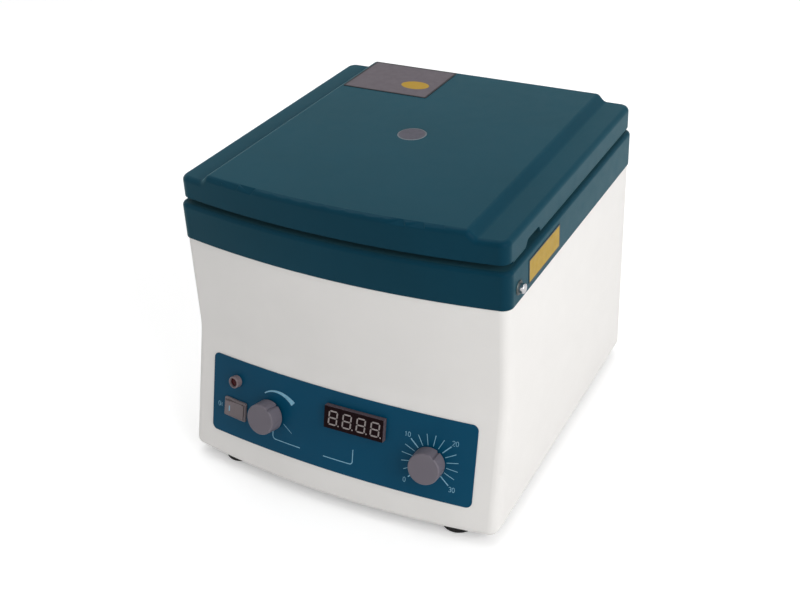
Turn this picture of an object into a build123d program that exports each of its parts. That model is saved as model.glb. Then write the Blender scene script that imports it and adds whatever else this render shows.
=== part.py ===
from build123d import *

import os
from math import asin, cos, hypot, radians, sin, sqrt, tan

# A small bench centrifuge for two microplates.  Millimetres, +Z up.  The origin is the middle of the
# footprint at the level of the feet, +Y points to the rear and x = 0 is the plane of symmetry of the case.

# ---------------------------------------------------------------- driving dimensions: the case
width = 260.0                # across the upper frame
corner_depth = 249.6         # front corners of the upper frame to its rear face
front_bow_radius = 700.0     # the front faces are bowed in plan
rear_y = 139.5               # rear face of the upper frame
foot_height = 8.0
housing_height = 175.0
frame_height = 28.0
lid_gap = 2.0                # open joint between the frame and the lid
lid_side_height = 19.0
lid_front_lift = 2.7         # the lid's front edge stands higher than its sides
plateau_rise = 5.8           # raised middle of the lid
corner_radius = 8.0          # upright corners
wall = 3.0                   # moulded walls
housing_inset = 0.8          # housing stands in under the frame
flare_start = 97.15          # height on the housing at which its front starts to slope forward
flare_angle = 13.7
flare_blend = 60.0
base_rounding = 5.0
base_lip = 9.0
top_flange = 15.0
frame_rounding = 3.0
fit_gap = 0.3                # between parts that only meet
running = 0.05               # radial clearance of a shaft in its bearing

# ---------------------------------------------------------------- driving dimensions: the lid
lid_inset = 2.0
ledge_width = 21.3           # low step each side of the raised middle
ramp_width = 5.5
lid_rounding = 4.0
lid_bottom_rounding = 2.0
lid_front_cut = 10.0         # how far the higher front edge reaches back
ramp_rounding = 4.5
recess_setback = 29.0        # behind the front corner
recess_length = 28.5
recess_height = 6.2
recess_slopes = (5.5, 3.5)   # its front and rear ends lean in by these
recess_rounding = 2.5
lid_boss_radius = 4.5
window_radius = 11.2
window_flange = 2.0
label_thickness = 0.4
lid_label_size = (76.5, 59.2)
lid_label_inset = (40.55, 34.0)     # its centre from the plateau's left and rear edges
side_label_size = (56.2, 18.2)
side_label_offset = (59.4, 13.0)    # its centre from the front corner and the frame's foot

# ---------------------------------------------------------------- driving dimensions: chamber and rotor
rotor_y = 9.0
rotor_clearance = 4.3        # carriers' corners to the bowl
carrier_top_gap = 3.0        # carriers' tops to the deck's level
chamber_wall = 1.5
chamber_corner = 18.0
chamber_flange = 7.5
flange_thickness = 1.2
seal_height = 2.8
seal_width = 7.0
shaft_radius = 5.0
shaft_hole_radius = 24.0
liner_overhang = 10.0        # liner beyond the bowl's opening
liner_thickness = 1.5
plate_length = 129.4         # a standard plate is 127.8 by 85.5
plate_pocket = 21.5
pocket_height = 85.5
pocket_offset = 51.5         # from the rotor axis to a pocket's inner face
carrier_sheet = 1.5
rotor_plate_size = (150.0, 80.0)
rotor_plate_thickness = 5.0
rotor_floor_gap = 8.0
notch_radius = 14.0

# ---------------------------------------------------------------- driving dimensions: motor
plate_thickness = 2.0
damper_height = 14.0
damper_radius = 8.0
damper_spacing = 90.0
motor_plate_side = 112.0
motor_plate_thickness = 3.0
motor_radius = 42.0
motor_wall = 3.5
can_length = 58.5
cap_thickness = 4.0
bearing_radius = 13.0
bearing_width = 8.0
armature_radius = 30.0
armature_length = 30.0
magnet_gap = 1.5
commutator_radius = 13.0
commutator_length = 7.0

# ---------------------------------------------------------------- driving dimensions: front panel
panel_size = (220.6, 63.2)
panel_centre = (-0.1, 61.3)
panel_corner = 4.5
overlay_thickness = 0.6
display_place = (19.2, 73.5)
display_size = (47.5, 17.0)
display_stand = 4.0
speed_place = (-54.3, 58.2)
timer_place = (77.3, 57.0)
switch_place = (-86.9, 52.0)
lamp_place = (-86.8, 74.2)
knob_radius = 12.0
knob_height = 11.6
knob_lift = 1.4
knob_shaft_radius = 3.0
knob_pointer_width = 1.6
speed_pointer_angle = 55.0
timer_pointer_angle = 55.0
bush_radius = 4.5
bezel_size = (21.0, 15.0)
bezel_height = 2.0
rocker_tilt = 6.0
lamp_radius = 4.6
lamp_stand = 4.8
lamp_hole_radius = 3.6
switch_cutout = (19.4, 13.4)
cutout_clearance = 0.1
panel_holes = ((speed_place, bush_radius), (timer_place, bush_radius), (lamp_place, lamp_hole_radius))
foot_inset = (34.9, 20.3, 20.0)   # from the side, the housing's foot at the front, and the rear
frame_screw_inset = (9.0, 57.0, 20.0)

# ---------------------------------------------------------------- driving dimensions: hinge, latch, switch
hinge_x = 72.0
hinge_length = 42.0
hinge_sheet = 1.5
knuckle_radius = 3.5
hinge_pin_radius = 1.5
hinge_stand = 3.9
hinge_leaf_height = 17.0
latch_offset = (15.0, 10.6)  # from the front corner and the frame's foot
latch_depth = 30.8           # side of the frame to the middle of the hook
button_radius = 3.5
guide_wall = 0.95            # running fit and wall of the guide round the button
guide_rim = 1.7
button_stand = 4.4
button_travel = 2.5
rod_radius = 1.8
hook_sheet = 2.0
hook_width = 12.0
lid_switch_inset = (18.0, 24.0)     # from the frame's left side and front corner
plunger_radius = 2.0
plunger_travel = 2.0

# ---------------------------------------------------------------- levels and outlines that follow
half_width = width / 2
front_corner_y = rear_y - corner_depth
bow_centre_y = front_corner_y + sqrt(front_bow_radius**2 - half_width**2)
housing_z = foot_height
frame_z = housing_z + housing_height
deck_z = frame_z + frame_height
lid_z = deck_z + lid_gap
ledge_z = lid_z + lid_side_height
plateau_z = ledge_z + plateau_rise
lid_half_width = half_width - lid_inset
plateau_half_width = lid_half_width - ledge_width - ramp_width
recess_front_y = front_corner_y + recess_setback
lid_label_centre = (lid_label_inset[0] - plateau_half_width, rear_y - lid_label_inset[1])
side_label_centre = (front_corner_y + side_label_offset[0], frame_z + side_label_offset[1])
latch_place = (front_corner_y + latch_offset[0], frame_z + latch_offset[1])
lid_switch_place = (lid_switch_inset[0] - half_width, front_corner_y + lid_switch_inset[1])
hook_x = half_width - latch_depth
base_top = housing_z + plate_thickness
housing_half_width = half_width - housing_inset
housing_radius = front_bow_radius - housing_inset
housing_rear = rear_y - housing_inset
flare_z = housing_z + flare_start
flare_slope = tan(radians(flare_angle))
base_radius = housing_radius + flare_start * flare_slope
carrier_half_length = plate_length / 2 + carrier_sheet
carrier_reach = pocket_offset + plate_pocket + carrier_sheet
chamber_radius = hypot(carrier_reach, carrier_half_length) + rotor_clearance
liner_radius = chamber_radius + liner_overhang
chamber_depth = rotor_floor_gap + rotor_plate_thickness + carrier_sheet + pocket_height + carrier_top_gap
chamber_floor = deck_z - chamber_depth
chamber_clear = chamber_radius + chamber_wall + 0.5
rotor_axis = Axis((0, rotor_y, 0), (0, 0, 1))
bow_axis = Axis((0, bow_centre_y, 0), (0, 0, 1))
bow_plane = Plane(origin=(0, bow_centre_y, 0), x_dir=(0, 1, 0), z_dir=(1, 0, 0))
rotor_section = Plane(origin=(0, rotor_y, 0), x_dir=(1, 0, 0), z_dir=(0, -1, 0))

os.makedirs("parts", exist_ok=True)


def save(part, name):
    part.label = name
    export_step(part, f"parts/{name}.step")


def bowed_outline(inset, radius=front_bow_radius, half=half_width, rear=rear_y, corner=corner_radius):
    """Plan outline: straight sides and rear, and a front bowed about the common centre."""
    r = radius - inset
    h = half - inset
    front_y = bow_centre_y - sqrt(r**2 - h**2)
    with BuildSketch() as outline:
        with BuildLine():
            Polyline((-h, front_y), (-h, rear - inset), (h, rear - inset), (h, front_y))
            ThreePointArc((h, front_y), (0, bow_centre_y - r), (-h, front_y))
        make_face()
        fillet(outline.vertices(), max(corner - inset, 1.0))
    return outline.sketch


def housing_radius_at(z):
    """Distance from the bow's centre to the front face of the housing at a height."""
    return housing_radius + max(flare_z - z, 0) * flare_slope


def panel_plane(place):
    """Plane on the sloping front face: x to the right, y up the slope, z out of the face."""
    x, z = place
    r = housing_radius_at(z)
    turn = asin(x / r)
    slope = radians(flare_angle)
    out = (sin(turn) * cos(slope), -cos(turn) * cos(slope), sin(slope))
    return Plane(origin=(x, bow_centre_y - r * cos(turn), z), x_dir=(cos(turn), sin(turn), 0), z_dir=out)


# ================================================================ main housing
def housing_block(inset, bottom, top, rounding):
    """The outer form of the housing, or with an inset the space inside its walls."""
    upper = housing_radius - inset
    lower = housing_radius + (flare_z - bottom) * flare_slope - inset / cos(radians(flare_angle))
    knee_z = flare_z - inset * tan(radians(flare_angle / 2))
    half = housing_half_width - inset
    rear = housing_rear - inset
    with BuildPart() as block:
        with BuildSketch(bow_plane) as profile:
            with BuildLine():
                Polyline((0, bottom), (lower, bottom), (upper, knee_z), (upper, top), (0, top), close=True)
            make_face()
            fillet(profile.vertices().sort_by_distance((upper, knee_z))[0], flare_blend)
        revolve(axis=bow_axis, revolution_arc=360)
        with BuildSketch(Plane.XY.offset(bottom)):
            with Locations((0, rear - 200)):
                Rectangle(2 * half, 400)
        extrude(amount=top - bottom, mode=Mode.INTERSECT)
        corners = block.edges().filter_by(lambda e: abs(abs(e.center().X) - half) < 0.01)
        corners = corners.filter_by(lambda e: bottom + 0.1 < e.center().Z < top - 0.1)
        fillet(corners, corner_radius - inset)
        fillet(block.faces().sort_by(Axis.Z)[0].edges(), rounding)
    return block.part


foot_x = housing_half_width - foot_inset[0]
foot_front_y = bow_centre_y - sqrt(base_radius**2 - foot_x**2)
foot_rows = (foot_front_y + foot_inset[1], housing_rear - foot_inset[2])
foot_places = [(sx * foot_x, y) for sx in (-1, 1) for y in foot_rows]
frame_screw_x = housing_half_width - frame_screw_inset[0]
frame_screw_rows = (front_corner_y + frame_screw_inset[1], rear_y - frame_screw_inset[2])
frame_screw_places = [(sx * frame_screw_x, y) for sx in (-1, 1) for y in frame_screw_rows]
foot_boss_radius = 6.0
foot_boss_height = 15.0
screw_radius = 1.75
inlet_place = (62.0, 50.0)
inlet_cutout = (27.5, 20.0)
fuse_place = (22.0, 50.0)
fuse_radius = 6.5
vent_slot = (3.2, 34.0)
vent_pitch = 8.0
rear_vent_place = (-60.0, 130.0)
rear_vent_count = 9

with BuildPart() as main_housing:
    add(housing_block(0, housing_z, frame_z, base_rounding))
    add(housing_block(wall, housing_z + wall, frame_z - wall, base_rounding - wall), mode=Mode.SUBTRACT)
    with BuildSketch(Plane.XY.offset(housing_z)):
        add(bowed_outline(base_lip, base_radius, housing_half_width, housing_rear))
    extrude(amount=wall, mode=Mode.SUBTRACT)
    with BuildSketch(Plane.XY.offset(frame_z - wall)):
        add(bowed_outline(top_flange, housing_radius, housing_half_width, housing_rear))
        with Locations((0, rotor_y)):
            Circle(chamber_clear)
    extrude(amount=wall, mode=Mode.SUBTRACT)
    # bosses for the feet, each tied to the side wall by a rib
    with BuildSketch(Plane.XY.offset(base_top)):
        with Locations(foot_places):
            Circle(foot_boss_radius)
        for x, y in foot_places:
            with Locations((x + (housing_half_width - 1 - abs(x)) / 2 * (1 if x > 0 else -1), y)):
                Rectangle(housing_half_width - 1 - abs(x), 3)
    extrude(amount=foot_boss_height)
    with Locations(*[Location((x, y, base_top)) for x, y in foot_places]):
        Hole(screw_radius, depth=foot_boss_height - 3)
    # screw holes up into the frame
    with Locations(*[Location((x, y, frame_z)) for x, y in frame_screw_places]):
        Hole(screw_radius + 0.3, depth=wall + 1)
    # posts behind the display
    display_face = panel_plane(display_place)
    post_offset = display_size[0] / 2 + 6
    board_depth = 9.0
    with BuildSketch(display_face.offset(-board_depth)):
        with Locations((-post_offset, 0), (post_offset, 0)):
            Circle(3)
    extrude(amount=board_depth - wall / 2)
    # openings in the sloping front
    with BuildSketch(display_face):
        Rectangle(display_size[0] + 0.6, display_size[1] + 0.6)
    extrude(amount=8, both=True, mode=Mode.SUBTRACT)
    with BuildSketch(panel_plane(switch_place)):
        Rectangle(*switch_cutout)
    extrude(amount=8, both=True, mode=Mode.SUBTRACT)
    for place, radius in panel_holes:
        with BuildSketch(panel_plane(place)):
            Circle(radius + cutout_clearance)
        extrude(amount=8, both=True, mode=Mode.SUBTRACT)
    # openings in the rear wall
    with BuildSketch(Plane.XZ.offset(-housing_rear)):
        with Locations(inlet_place):
            Rectangle(*inlet_cutout)
        with Locations(fuse_place):
            Circle(fuse_radius + 0.1)
        with Locations(rear_vent_place):
            with GridLocations(vent_pitch, 1, rear_vent_count, 1):
                SlotOverall(vent_slot[1], vent_slot[0], rotation=90)
    extrude(amount=wall + 1, both=True, mode=Mode.SUBTRACT)
save(main_housing.part, "main_housing")


# ================================================================ base, feet and their screws
screw_head_radius = 3.6
vent_rows = 7
base_vent_place = (62.0, 80.0)      # from the middle, and ahead of the rotor's axis
base_vent_length = 36.0

with BuildPart() as base_plate:
    with BuildSketch(Plane.XY.offset(housing_z)):
        add(bowed_outline(base_lip + fit_gap, base_radius, housing_half_width, housing_rear))
    extrude(amount=plate_thickness)
    with BuildSketch(Plane.XY.offset(housing_z)):
        with Locations(foot_places):
            Circle(screw_radius + 0.3)
        with Locations((-base_vent_place[0], rotor_y - base_vent_place[1]),
                       (base_vent_place[0], rotor_y - base_vent_place[1])):
            with GridLocations(1, vent_pitch, 1, vent_rows):
                SlotOverall(base_vent_length, vent_slot[0])
        with Locations((0, rotor_y)):
            with GridLocations(damper_spacing, damper_spacing, 2, 2):
                Circle(screw_radius + 0.05)
    extrude(amount=plate_thickness, mode=Mode.SUBTRACT)
save(base_plate.part, "base_plate")

foot_radius = 12.5
foot_recess = 4.0

with BuildPart() as rubber_feet:
    with BuildSketch():
        with Locations(foot_places):
            Circle(foot_radius)
    extrude(amount=foot_height, taper=-4)
    with Locations(*[Location((x, y, 0), (180, 0, 0)) for x, y in foot_places]):
        CounterBoreHole(screw_radius + 0.3, screw_head_radius + 0.4, foot_recess)
    foot_soles = rubber_feet.faces().filter_by(Axis.Z).sort_by(Axis.Z)[:4]
    chamfer(foot_soles.edges().group_by(SortBy.RADIUS)[-1], 0.8)
save(rubber_feet.part, "rubber_feet")


def pan_head_screws(places, head_z, length, radius=screw_radius, up=True):
    """Round-headed screws under or over the level head_z, with their shanks in the work."""
    sign = 1 if up else -1
    with BuildPart() as screws:
        for x, y in places:
            seat = Plane(origin=(x, y, head_z), x_dir=(1, 0, 0), z_dir=(0, 0, sign))
            with BuildSketch(seat):
                Circle(radius)
            extrude(amount=length)
            with BuildSketch(seat):
                Circle(radius * 2)
            extrude(amount=-radius)
            with BuildSketch(seat.offset(-radius)):
                Rectangle(radius * 2.2, 0.7)
                Rectangle(0.7, radius * 2.2)
            extrude(amount=radius * 0.6, mode=Mode.SUBTRACT)
    return screws.part


# ================================================================ upper frame
frame_boss_radius = 5.0
keeper_slot = (11.0, 18.0)

with BuildPart() as upper_frame:
    with BuildSketch(Plane.XY.offset(frame_z)):
        add(bowed_outline(0))
    extrude(amount=frame_height)
    fillet(upper_frame.faces().sort_by(Axis.Z)[-1].edges(), frame_rounding)
    with BuildSketch(Plane.XY.offset(frame_z)):
        add(bowed_outline(wall))
    extrude(amount=frame_height - wall, mode=Mode.SUBTRACT)
    with BuildSketch(Plane.XY.offset(frame_z)):
        with Locations(frame_screw_places):
            Circle(frame_boss_radius)
    extrude(amount=frame_height - wall)
    with Locations(*[Location((x, y, frame_z), (180, 0, 0)) for x, y in frame_screw_places]):
        Hole(screw_radius, depth=16)
    with BuildSketch(Plane.XY.offset(deck_z)):
        with Locations((0, rotor_y)):
            Circle(chamber_clear)
        with Locations((hook_x - 0.5, latch_place[0])):
            Rectangle(*keeper_slot)
        with Locations(lid_switch_place):
            Circle(plunger_radius + 0.4)
    extrude(amount=-wall, mode=Mode.SUBTRACT)
    with BuildSketch(Plane.YZ.offset(half_width)):
        with Locations(latch_place):
            Circle(button_radius + guide_wall + cutout_clearance)
    extrude(amount=-wall - 1, mode=Mode.SUBTRACT)
save(upper_frame.part, "upper_frame")

with BuildPart() as housing_screws:
    add(pan_head_screws(foot_places, foot_recess, foot_height - foot_recess + plate_thickness + 11))
    add(pan_head_screws(frame_screw_places, frame_z - wall, 12 + wall))
save(housing_screws.part, "housing_screws")

# ================================================================ chamber
with BuildPart() as chamber_bowl:
    outer = chamber_radius + chamber_wall
    bottom = chamber_floor - chamber_wall
    rim = chamber_radius + chamber_flange
    with BuildSketch(rotor_section) as bowl_section:
        with BuildLine():
            Polyline((shaft_hole_radius, bottom), (outer, bottom), (outer, deck_z), (rim, deck_z),
                     (rim, deck_z + flange_thickness), (chamber_radius, deck_z + flange_thickness),
                     (chamber_radius, chamber_floor), (shaft_hole_radius, chamber_floor), close=True)
        make_face()
        fillet(bowl_section.vertices().sort_by_distance((outer, bottom))[0], chamber_corner + chamber_wall)
        fillet(bowl_section.vertices().sort_by_distance((chamber_radius, chamber_floor))[0], chamber_corner)
        fillet(bowl_section.vertices().sort_by_distance((chamber_radius, deck_z + flange_thickness))[0], 1.0)
    revolve(axis=rotor_axis)
save(chamber_bowl.part, "chamber_bowl")

with BuildPart() as chamber_seal:
    seat_z = deck_z + flange_thickness
    with BuildSketch(rotor_section) as seal_section:
        with Locations((chamber_radius + chamber_flange - seal_width / 2, seat_z + seal_height / 2)):
            Rectangle(seal_width, seal_height)
        fillet(seal_section.vertices().group_by(Axis.Y)[-1], 1.2)
    revolve(axis=rotor_axis)
save(chamber_seal.part, "chamber_seal")

# ================================================================ motor and its mounting
damper_places = [(sx * damper_spacing / 2, rotor_y + sy * damper_spacing / 2)
                 for sx in (-1, 1) for sy in (-1, 1)]
motor_plate_z = base_top + damper_height
motor_z = motor_plate_z + motor_plate_thickness
can_z = motor_z + cap_thickness
upper_cap_z = can_z + can_length
lower_bearing_z = can_z
upper_bearing_z = upper_cap_z - bearing_width
cap_hub_radius = bearing_radius + 5
cap_bore_radius = shaft_radius + 2
damper_hole_radius = screw_radius + 0.3

with BuildPart() as motor_dampers:
    with BuildSketch(Plane.XY.offset(base_top)):
        with Locations(damper_places):
            Circle(damper_radius)
    extrude(amount=damper_height)
    with BuildSketch(Plane.XY.offset(base_top + damper_height / 2)):
        with Locations(damper_places):
            Circle(damper_radius + 1)
            Circle(damper_radius - 1.5, mode=Mode.SUBTRACT)
    extrude(amount=3, both=True, mode=Mode.SUBTRACT)
    with BuildSketch(Plane.XY.offset(base_top)):
        with Locations(damper_places):
            Circle(damper_hole_radius)
    extrude(amount=damper_height, mode=Mode.SUBTRACT)
save(motor_dampers.part, "motor_dampers")

with BuildPart() as motor_plate:
    with BuildSketch(Plane.XY.offset(motor_plate_z)):
        with Locations((0, rotor_y)):
            RectangleRounded(motor_plate_side, motor_plate_side, 8)
            Circle(cap_bore_radius + 4, mode=Mode.SUBTRACT)
        with Locations(damper_places):
            Circle(damper_hole_radius, mode=Mode.SUBTRACT)
    extrude(amount=motor_plate_thickness)
save(motor_plate.part, "motor_plate")
damper_screw_length = motor_plate_thickness + damper_height + plate_thickness
save(pan_head_screws(damper_places, motor_z, damper_screw_length, up=False), "damper_screws")

with BuildPart() as motor_can:
    with BuildSketch(Plane.XY.offset(can_z)):
        with Locations((0, rotor_y)):
            Circle(motor_radius)
            Circle(motor_radius - motor_wall, mode=Mode.SUBTRACT)
    extrude(amount=can_length)
save(motor_can.part, "motor_can")


def cap_section(face_z, inward):
    """Half section of an end cap: a disc with a bearing hub that reaches into the can."""
    hub_z = face_z + inward * (cap_thickness + bearing_width)
    seat_z = face_z + inward * cap_thickness
    with BuildSketch() as section:
        with BuildLine():
            Polyline((cap_bore_radius, face_z), (motor_radius, face_z), (motor_radius, seat_z),
                     (cap_hub_radius, seat_z), (cap_hub_radius, hub_z), (bearing_radius, hub_z),
                     (bearing_radius, seat_z), (cap_bore_radius, seat_z), close=True)
        make_face()
    return section.sketch


motor_top = upper_cap_z + cap_thickness
with BuildPart() as motor_end_caps:
    for face_z, inward in ((motor_z, 1), (motor_top, -1)):
        with BuildSketch(rotor_section):
            add(cap_section(face_z, inward))
        revolve(axis=rotor_axis)
save(motor_end_caps.part, "motor_end_caps")

with BuildPart() as motor_bearings:
    for bearing_z in (lower_bearing_z, upper_bearing_z):
        with BuildSketch(Plane.XY.offset(bearing_z)):
            with Locations((0, rotor_y)):
                Circle(bearing_radius)
                Circle(shaft_radius + running, mode=Mode.SUBTRACT)
        extrude(amount=bearing_width)
save(motor_bearings.part, "motor_bearings")

armature_z = can_z + (can_length - armature_length) / 2 - 5
magnet_inner = armature_radius + magnet_gap
with BuildPart() as field_magnets:
    with BuildSketch(Plane.XY.offset(armature_z - 2)):
        with Locations((0, rotor_y)):
            Circle(motor_radius - motor_wall)
            Circle(magnet_inner, mode=Mode.SUBTRACT)
            Rectangle(24, 2 * motor_radius, mode=Mode.SUBTRACT)
    extrude(amount=armature_length + 4)
save(field_magnets.part, "field_magnets")

with BuildPart() as armature:
    with BuildSketch(Plane.XY.offset(armature_z)):
        with Locations((0, rotor_y)):
            Circle(armature_radius)
            Circle(shaft_radius, mode=Mode.SUBTRACT)
            with PolarLocations(armature_radius - 3, 12):
                RectangleRounded(8, 4, 1.5, mode=Mode.SUBTRACT)
            with PolarLocations(armature_radius, 12):
                Rectangle(4, 1.5, mode=Mode.SUBTRACT)
    extrude(amount=armature_length)
save(armature.part, "armature")

commutator_z = armature_z + armature_length + 3
with BuildPart() as commutator:
    with BuildSketch(Plane.XY.offset(commutator_z)):
        with Locations((0, rotor_y)):
            Circle(commutator_radius)
            Circle(shaft_radius, mode=Mode.SUBTRACT)
            with PolarLocations(commutator_radius, 12):
                Rectangle(2, 0.6, mode=Mode.SUBTRACT)
    extrude(amount=commutator_length)
save(commutator.part, "commutator")

brush_size = (6.0, 4.0)
brush_z = commutator_z + commutator_length / 2
brush_start = commutator_radius + fit_gap
holder_start = brush_start + 4
holder_half = brush_size[0] / 2 + 2
holder_end = sqrt((motor_radius - motor_wall) ** 2 - holder_half**2) - 0.1
with BuildPart() as carbon_brushes:
    for side in (-1, 1):
        face = Plane(origin=(0, rotor_y + side * brush_start, brush_z), x_dir=(1, 0, 0), z_dir=(0, side, 0))
        with BuildSketch(face):
            Rectangle(*brush_size)
        extrude(amount=14)
save(carbon_brushes.part, "carbon_brushes")
with BuildPart() as brush_holders:
    for side in (-1, 1):
        face = Plane(origin=(0, rotor_y + side * holder_start, brush_z), x_dir=(1, 0, 0), z_dir=(0, side, 0))
        with BuildSketch(face):
            Rectangle(2 * holder_half, brush_size[1] + 3)
        extrude(amount=holder_end - holder_start)
        with BuildSketch(face):
            Rectangle(brush_size[0] + 0.2, brush_size[1] + 0.2)
        extrude(amount=holder_end - holder_start - 2, mode=Mode.SUBTRACT)
save(brush_holders.part, "brush_holders")

# ================================================================ rotor
rotor_plate_z = chamber_floor + rotor_floor_gap
carrier_z = rotor_plate_z + rotor_plate_thickness
hub_boss_top = carrier_z + 9
nut_height = 16.0
shaft_end = carrier_z + 20
thread_radius = 4.0

with BuildPart() as shaft_boot:
    boot_inner = shaft_radius + 9
    floor_bottom = chamber_floor - chamber_wall
    with BuildSketch(rotor_section):
        with BuildLine():
            Polyline((boot_inner, motor_top), (boot_inner + 12, motor_top), (boot_inner + 12, motor_top + 2),
                     (boot_inner + 4, motor_top + 5), (boot_inner + 4, floor_bottom - 3),
                     (shaft_hole_radius + 4, floor_bottom - 3), (shaft_hole_radius + 4, floor_bottom),
                     (shaft_hole_radius, floor_bottom), (shaft_hole_radius, chamber_floor),
                     (shaft_hole_radius + 3, chamber_floor), (shaft_hole_radius + 3, chamber_floor + 2),
                     (boot_inner + 2, chamber_floor + 2), (boot_inner, chamber_floor), close=True)
        make_face()
    revolve(axis=rotor_axis)
save(shaft_boot.part, "shaft_boot")

with BuildPart() as motor_shaft:
    with BuildSketch(Plane.XY.offset(motor_z + 2)):
        with Locations((0, rotor_y)):
            Circle(shaft_radius)
    extrude(amount=hub_boss_top - motor_z - 2)
    with BuildSketch(Plane.XY.offset(hub_boss_top)):
        with Locations((0, rotor_y)):
            Circle(thread_radius)
    extrude(amount=shaft_end - hub_boss_top)
    chamfer(motor_shaft.faces().sort_by(Axis.Z)[-1].edges(), 0.8)
save(motor_shaft.part, "motor_shaft")

with BuildPart() as rotor_plate:
    with BuildSketch(Plane.XY.offset(rotor_plate_z)):
        with Locations((0, rotor_y)):
            RectangleRounded(*rotor_plate_size, 12)
            with Locations((0, 31), (0, -31)):
                RectangleRounded(60, 8, 3.5, mode=Mode.SUBTRACT)
    extrude(amount=rotor_plate_thickness)
    with BuildSketch(Plane.XY.offset(rotor_plate_z - 10)):
        with Locations((0, rotor_y)):
            Circle(11)
    extrude(amount=10)
    with BuildSketch(Plane.XY.offset(carrier_z)):
        with Locations((0, rotor_y)):
            Circle(16)
    extrude(amount=hub_boss_top - carrier_z, taper=12)
    with Locations((0, rotor_y, hub_boss_top)):
        Hole(shaft_radius)
save(rotor_plate.part, "rotor_plate")

carrier_height = pocket_height + carrier_sheet
carrier_width = plate_pocket + 2 * carrier_sheet
carrier_length = plate_length + 2 * carrier_sheet
with BuildPart() as plate_carriers:
    carrier_x = pocket_offset - carrier_sheet + carrier_width / 2
    carrier_centres = ((-carrier_x, rotor_y), (carrier_x, rotor_y))
    with BuildSketch(Plane.XY.offset(carrier_z)):
        with Locations(carrier_centres):
            RectangleRounded(carrier_width, carrier_length, 2.5)
    extrude(amount=carrier_height)
    with BuildSketch(Plane.XY.offset(carrier_z + carrier_sheet)):
        with Locations(carrier_centres):
            RectangleRounded(plate_pocket, plate_length, 1.0)
    extrude(amount=pocket_height, mode=Mode.SUBTRACT)
    # finger notches in the inner sheets
    with BuildSketch(Plane.YZ.offset(-pocket_offset - 1)):
        with Locations((rotor_y, carrier_z + carrier_height)):
            Circle(notch_radius)
    extrude(amount=2 * pocket_offset + 2, mode=Mode.SUBTRACT)
save(plate_carriers.part, "plate_carriers")

with BuildPart() as rotor_nut:
    with BuildSketch(Plane.XY.offset(hub_boss_top)):
        with Locations((0, rotor_y)):
            Circle(12)
            with PolarLocations(12.4, 18):
                Circle(0.9, mode=Mode.SUBTRACT)
    extrude(amount=nut_height)
    chamfer(rotor_nut.faces().sort_by(Axis.Z)[-1].outer_wire().edges(), 0.6)
    with Locations((0, rotor_y, hub_boss_top)):
        with Locations(Location((0, 0, 0), (180, 0, 0))):
            Hole(thread_radius, depth=nut_height - 2)
save(rotor_nut.part, "rotor_nut")

# ================================================================ front panel
panel_face = panel_plane(panel_centre)
with BuildPart() as panel_overlay:
    slant = 1 / cos(radians(flare_angle))
    high_z = flare_z - 2
    low_z = housing_z + 2
    high_r = housing_radius_at(high_z)
    low_r = housing_radius_at(low_z)
    skin = overlay_thickness * slant
    with BuildSketch(bow_plane):
        with BuildLine():
            Polyline((high_r, high_z), (high_r + skin, high_z), (low_r + skin, low_z), (low_r, low_z),
                     close=True)
        make_face()
    revolve(axis=bow_axis, revolution_arc=360)
    with BuildSketch(panel_face):
        RectangleRounded(*panel_size, panel_corner)
    extrude(amount=30, both=True, mode=Mode.INTERSECT)
    with BuildSketch(display_face):
        Rectangle(display_size[0] + 0.4, display_size[1] + 0.4)
    extrude(amount=8, both=True, mode=Mode.SUBTRACT)
    with BuildSketch(panel_plane(switch_place)):
        Rectangle(*switch_cutout)
    extrude(amount=8, both=True, mode=Mode.SUBTRACT)
    for place, radius in panel_holes:
        with BuildSketch(panel_plane(place)):
            Circle(radius + cutout_clearance)
        extrude(amount=8, both=True, mode=Mode.SUBTRACT)
save(panel_overlay.part, "panel_overlay")

board_thickness = 1.6
with BuildPart() as display_module:
    with BuildSketch(display_face.offset(-board_depth)):
        Rectangle(*display_size)
    extrude(amount=board_depth + overlay_thickness + display_stand)
save(display_module.part, "display_module")

with BuildPart() as display_board:
    with BuildSketch(display_face.offset(-board_depth)):
        RectangleRounded(2 * post_offset + 10, display_size[1] + 12, 2)
        with Locations((-post_offset, 0), (post_offset, 0)):
            Circle(1.6, mode=Mode.SUBTRACT)
    extrude(amount=-board_thickness)
save(display_board.part, "display_board")

# lamp: a turned bezel with its nut inside and a lens let into its mouth
lamp_face = panel_plane(lamp_place)
lens_radius = 3.5
lamp_bore = 4.4
lens_height = 2.8
with BuildPart() as lamp_bezel:
    with BuildSketch(lamp_face.offset(overlay_thickness)):
        Circle(lamp_radius)
    extrude(amount=lamp_stand)
    with BuildSketch(lamp_face.offset(overlay_thickness)):
        Circle(lamp_hole_radius - cutout_clearance)
    extrude(amount=-12)
    with BuildSketch(lamp_face.offset(-wall - 2.6)):
        RegularPolygon(4.6, 6)
    extrude(amount=2)
    chamfer(lamp_bezel.faces().sort_by_distance(lamp_face.offset(20).origin)[0].edges(), 0.5)
    with BuildSketch(lamp_face.offset(overlay_thickness + lamp_stand)):
        Circle(lens_radius)
    extrude(amount=-lamp_bore, mode=Mode.SUBTRACT)
save(lamp_bezel.part, "lamp_bezel")

with BuildPart() as lamp_lens:
    with BuildSketch(lamp_face.offset(overlay_thickness + lamp_stand - lamp_bore)):
        Circle(lens_radius)
    extrude(amount=lens_height)
    fillet(lamp_lens.faces().sort_by_distance(lamp_face.offset(20).origin)[0].edges(), 0.8)
save(lamp_lens.part, "lamp_lens")

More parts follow.
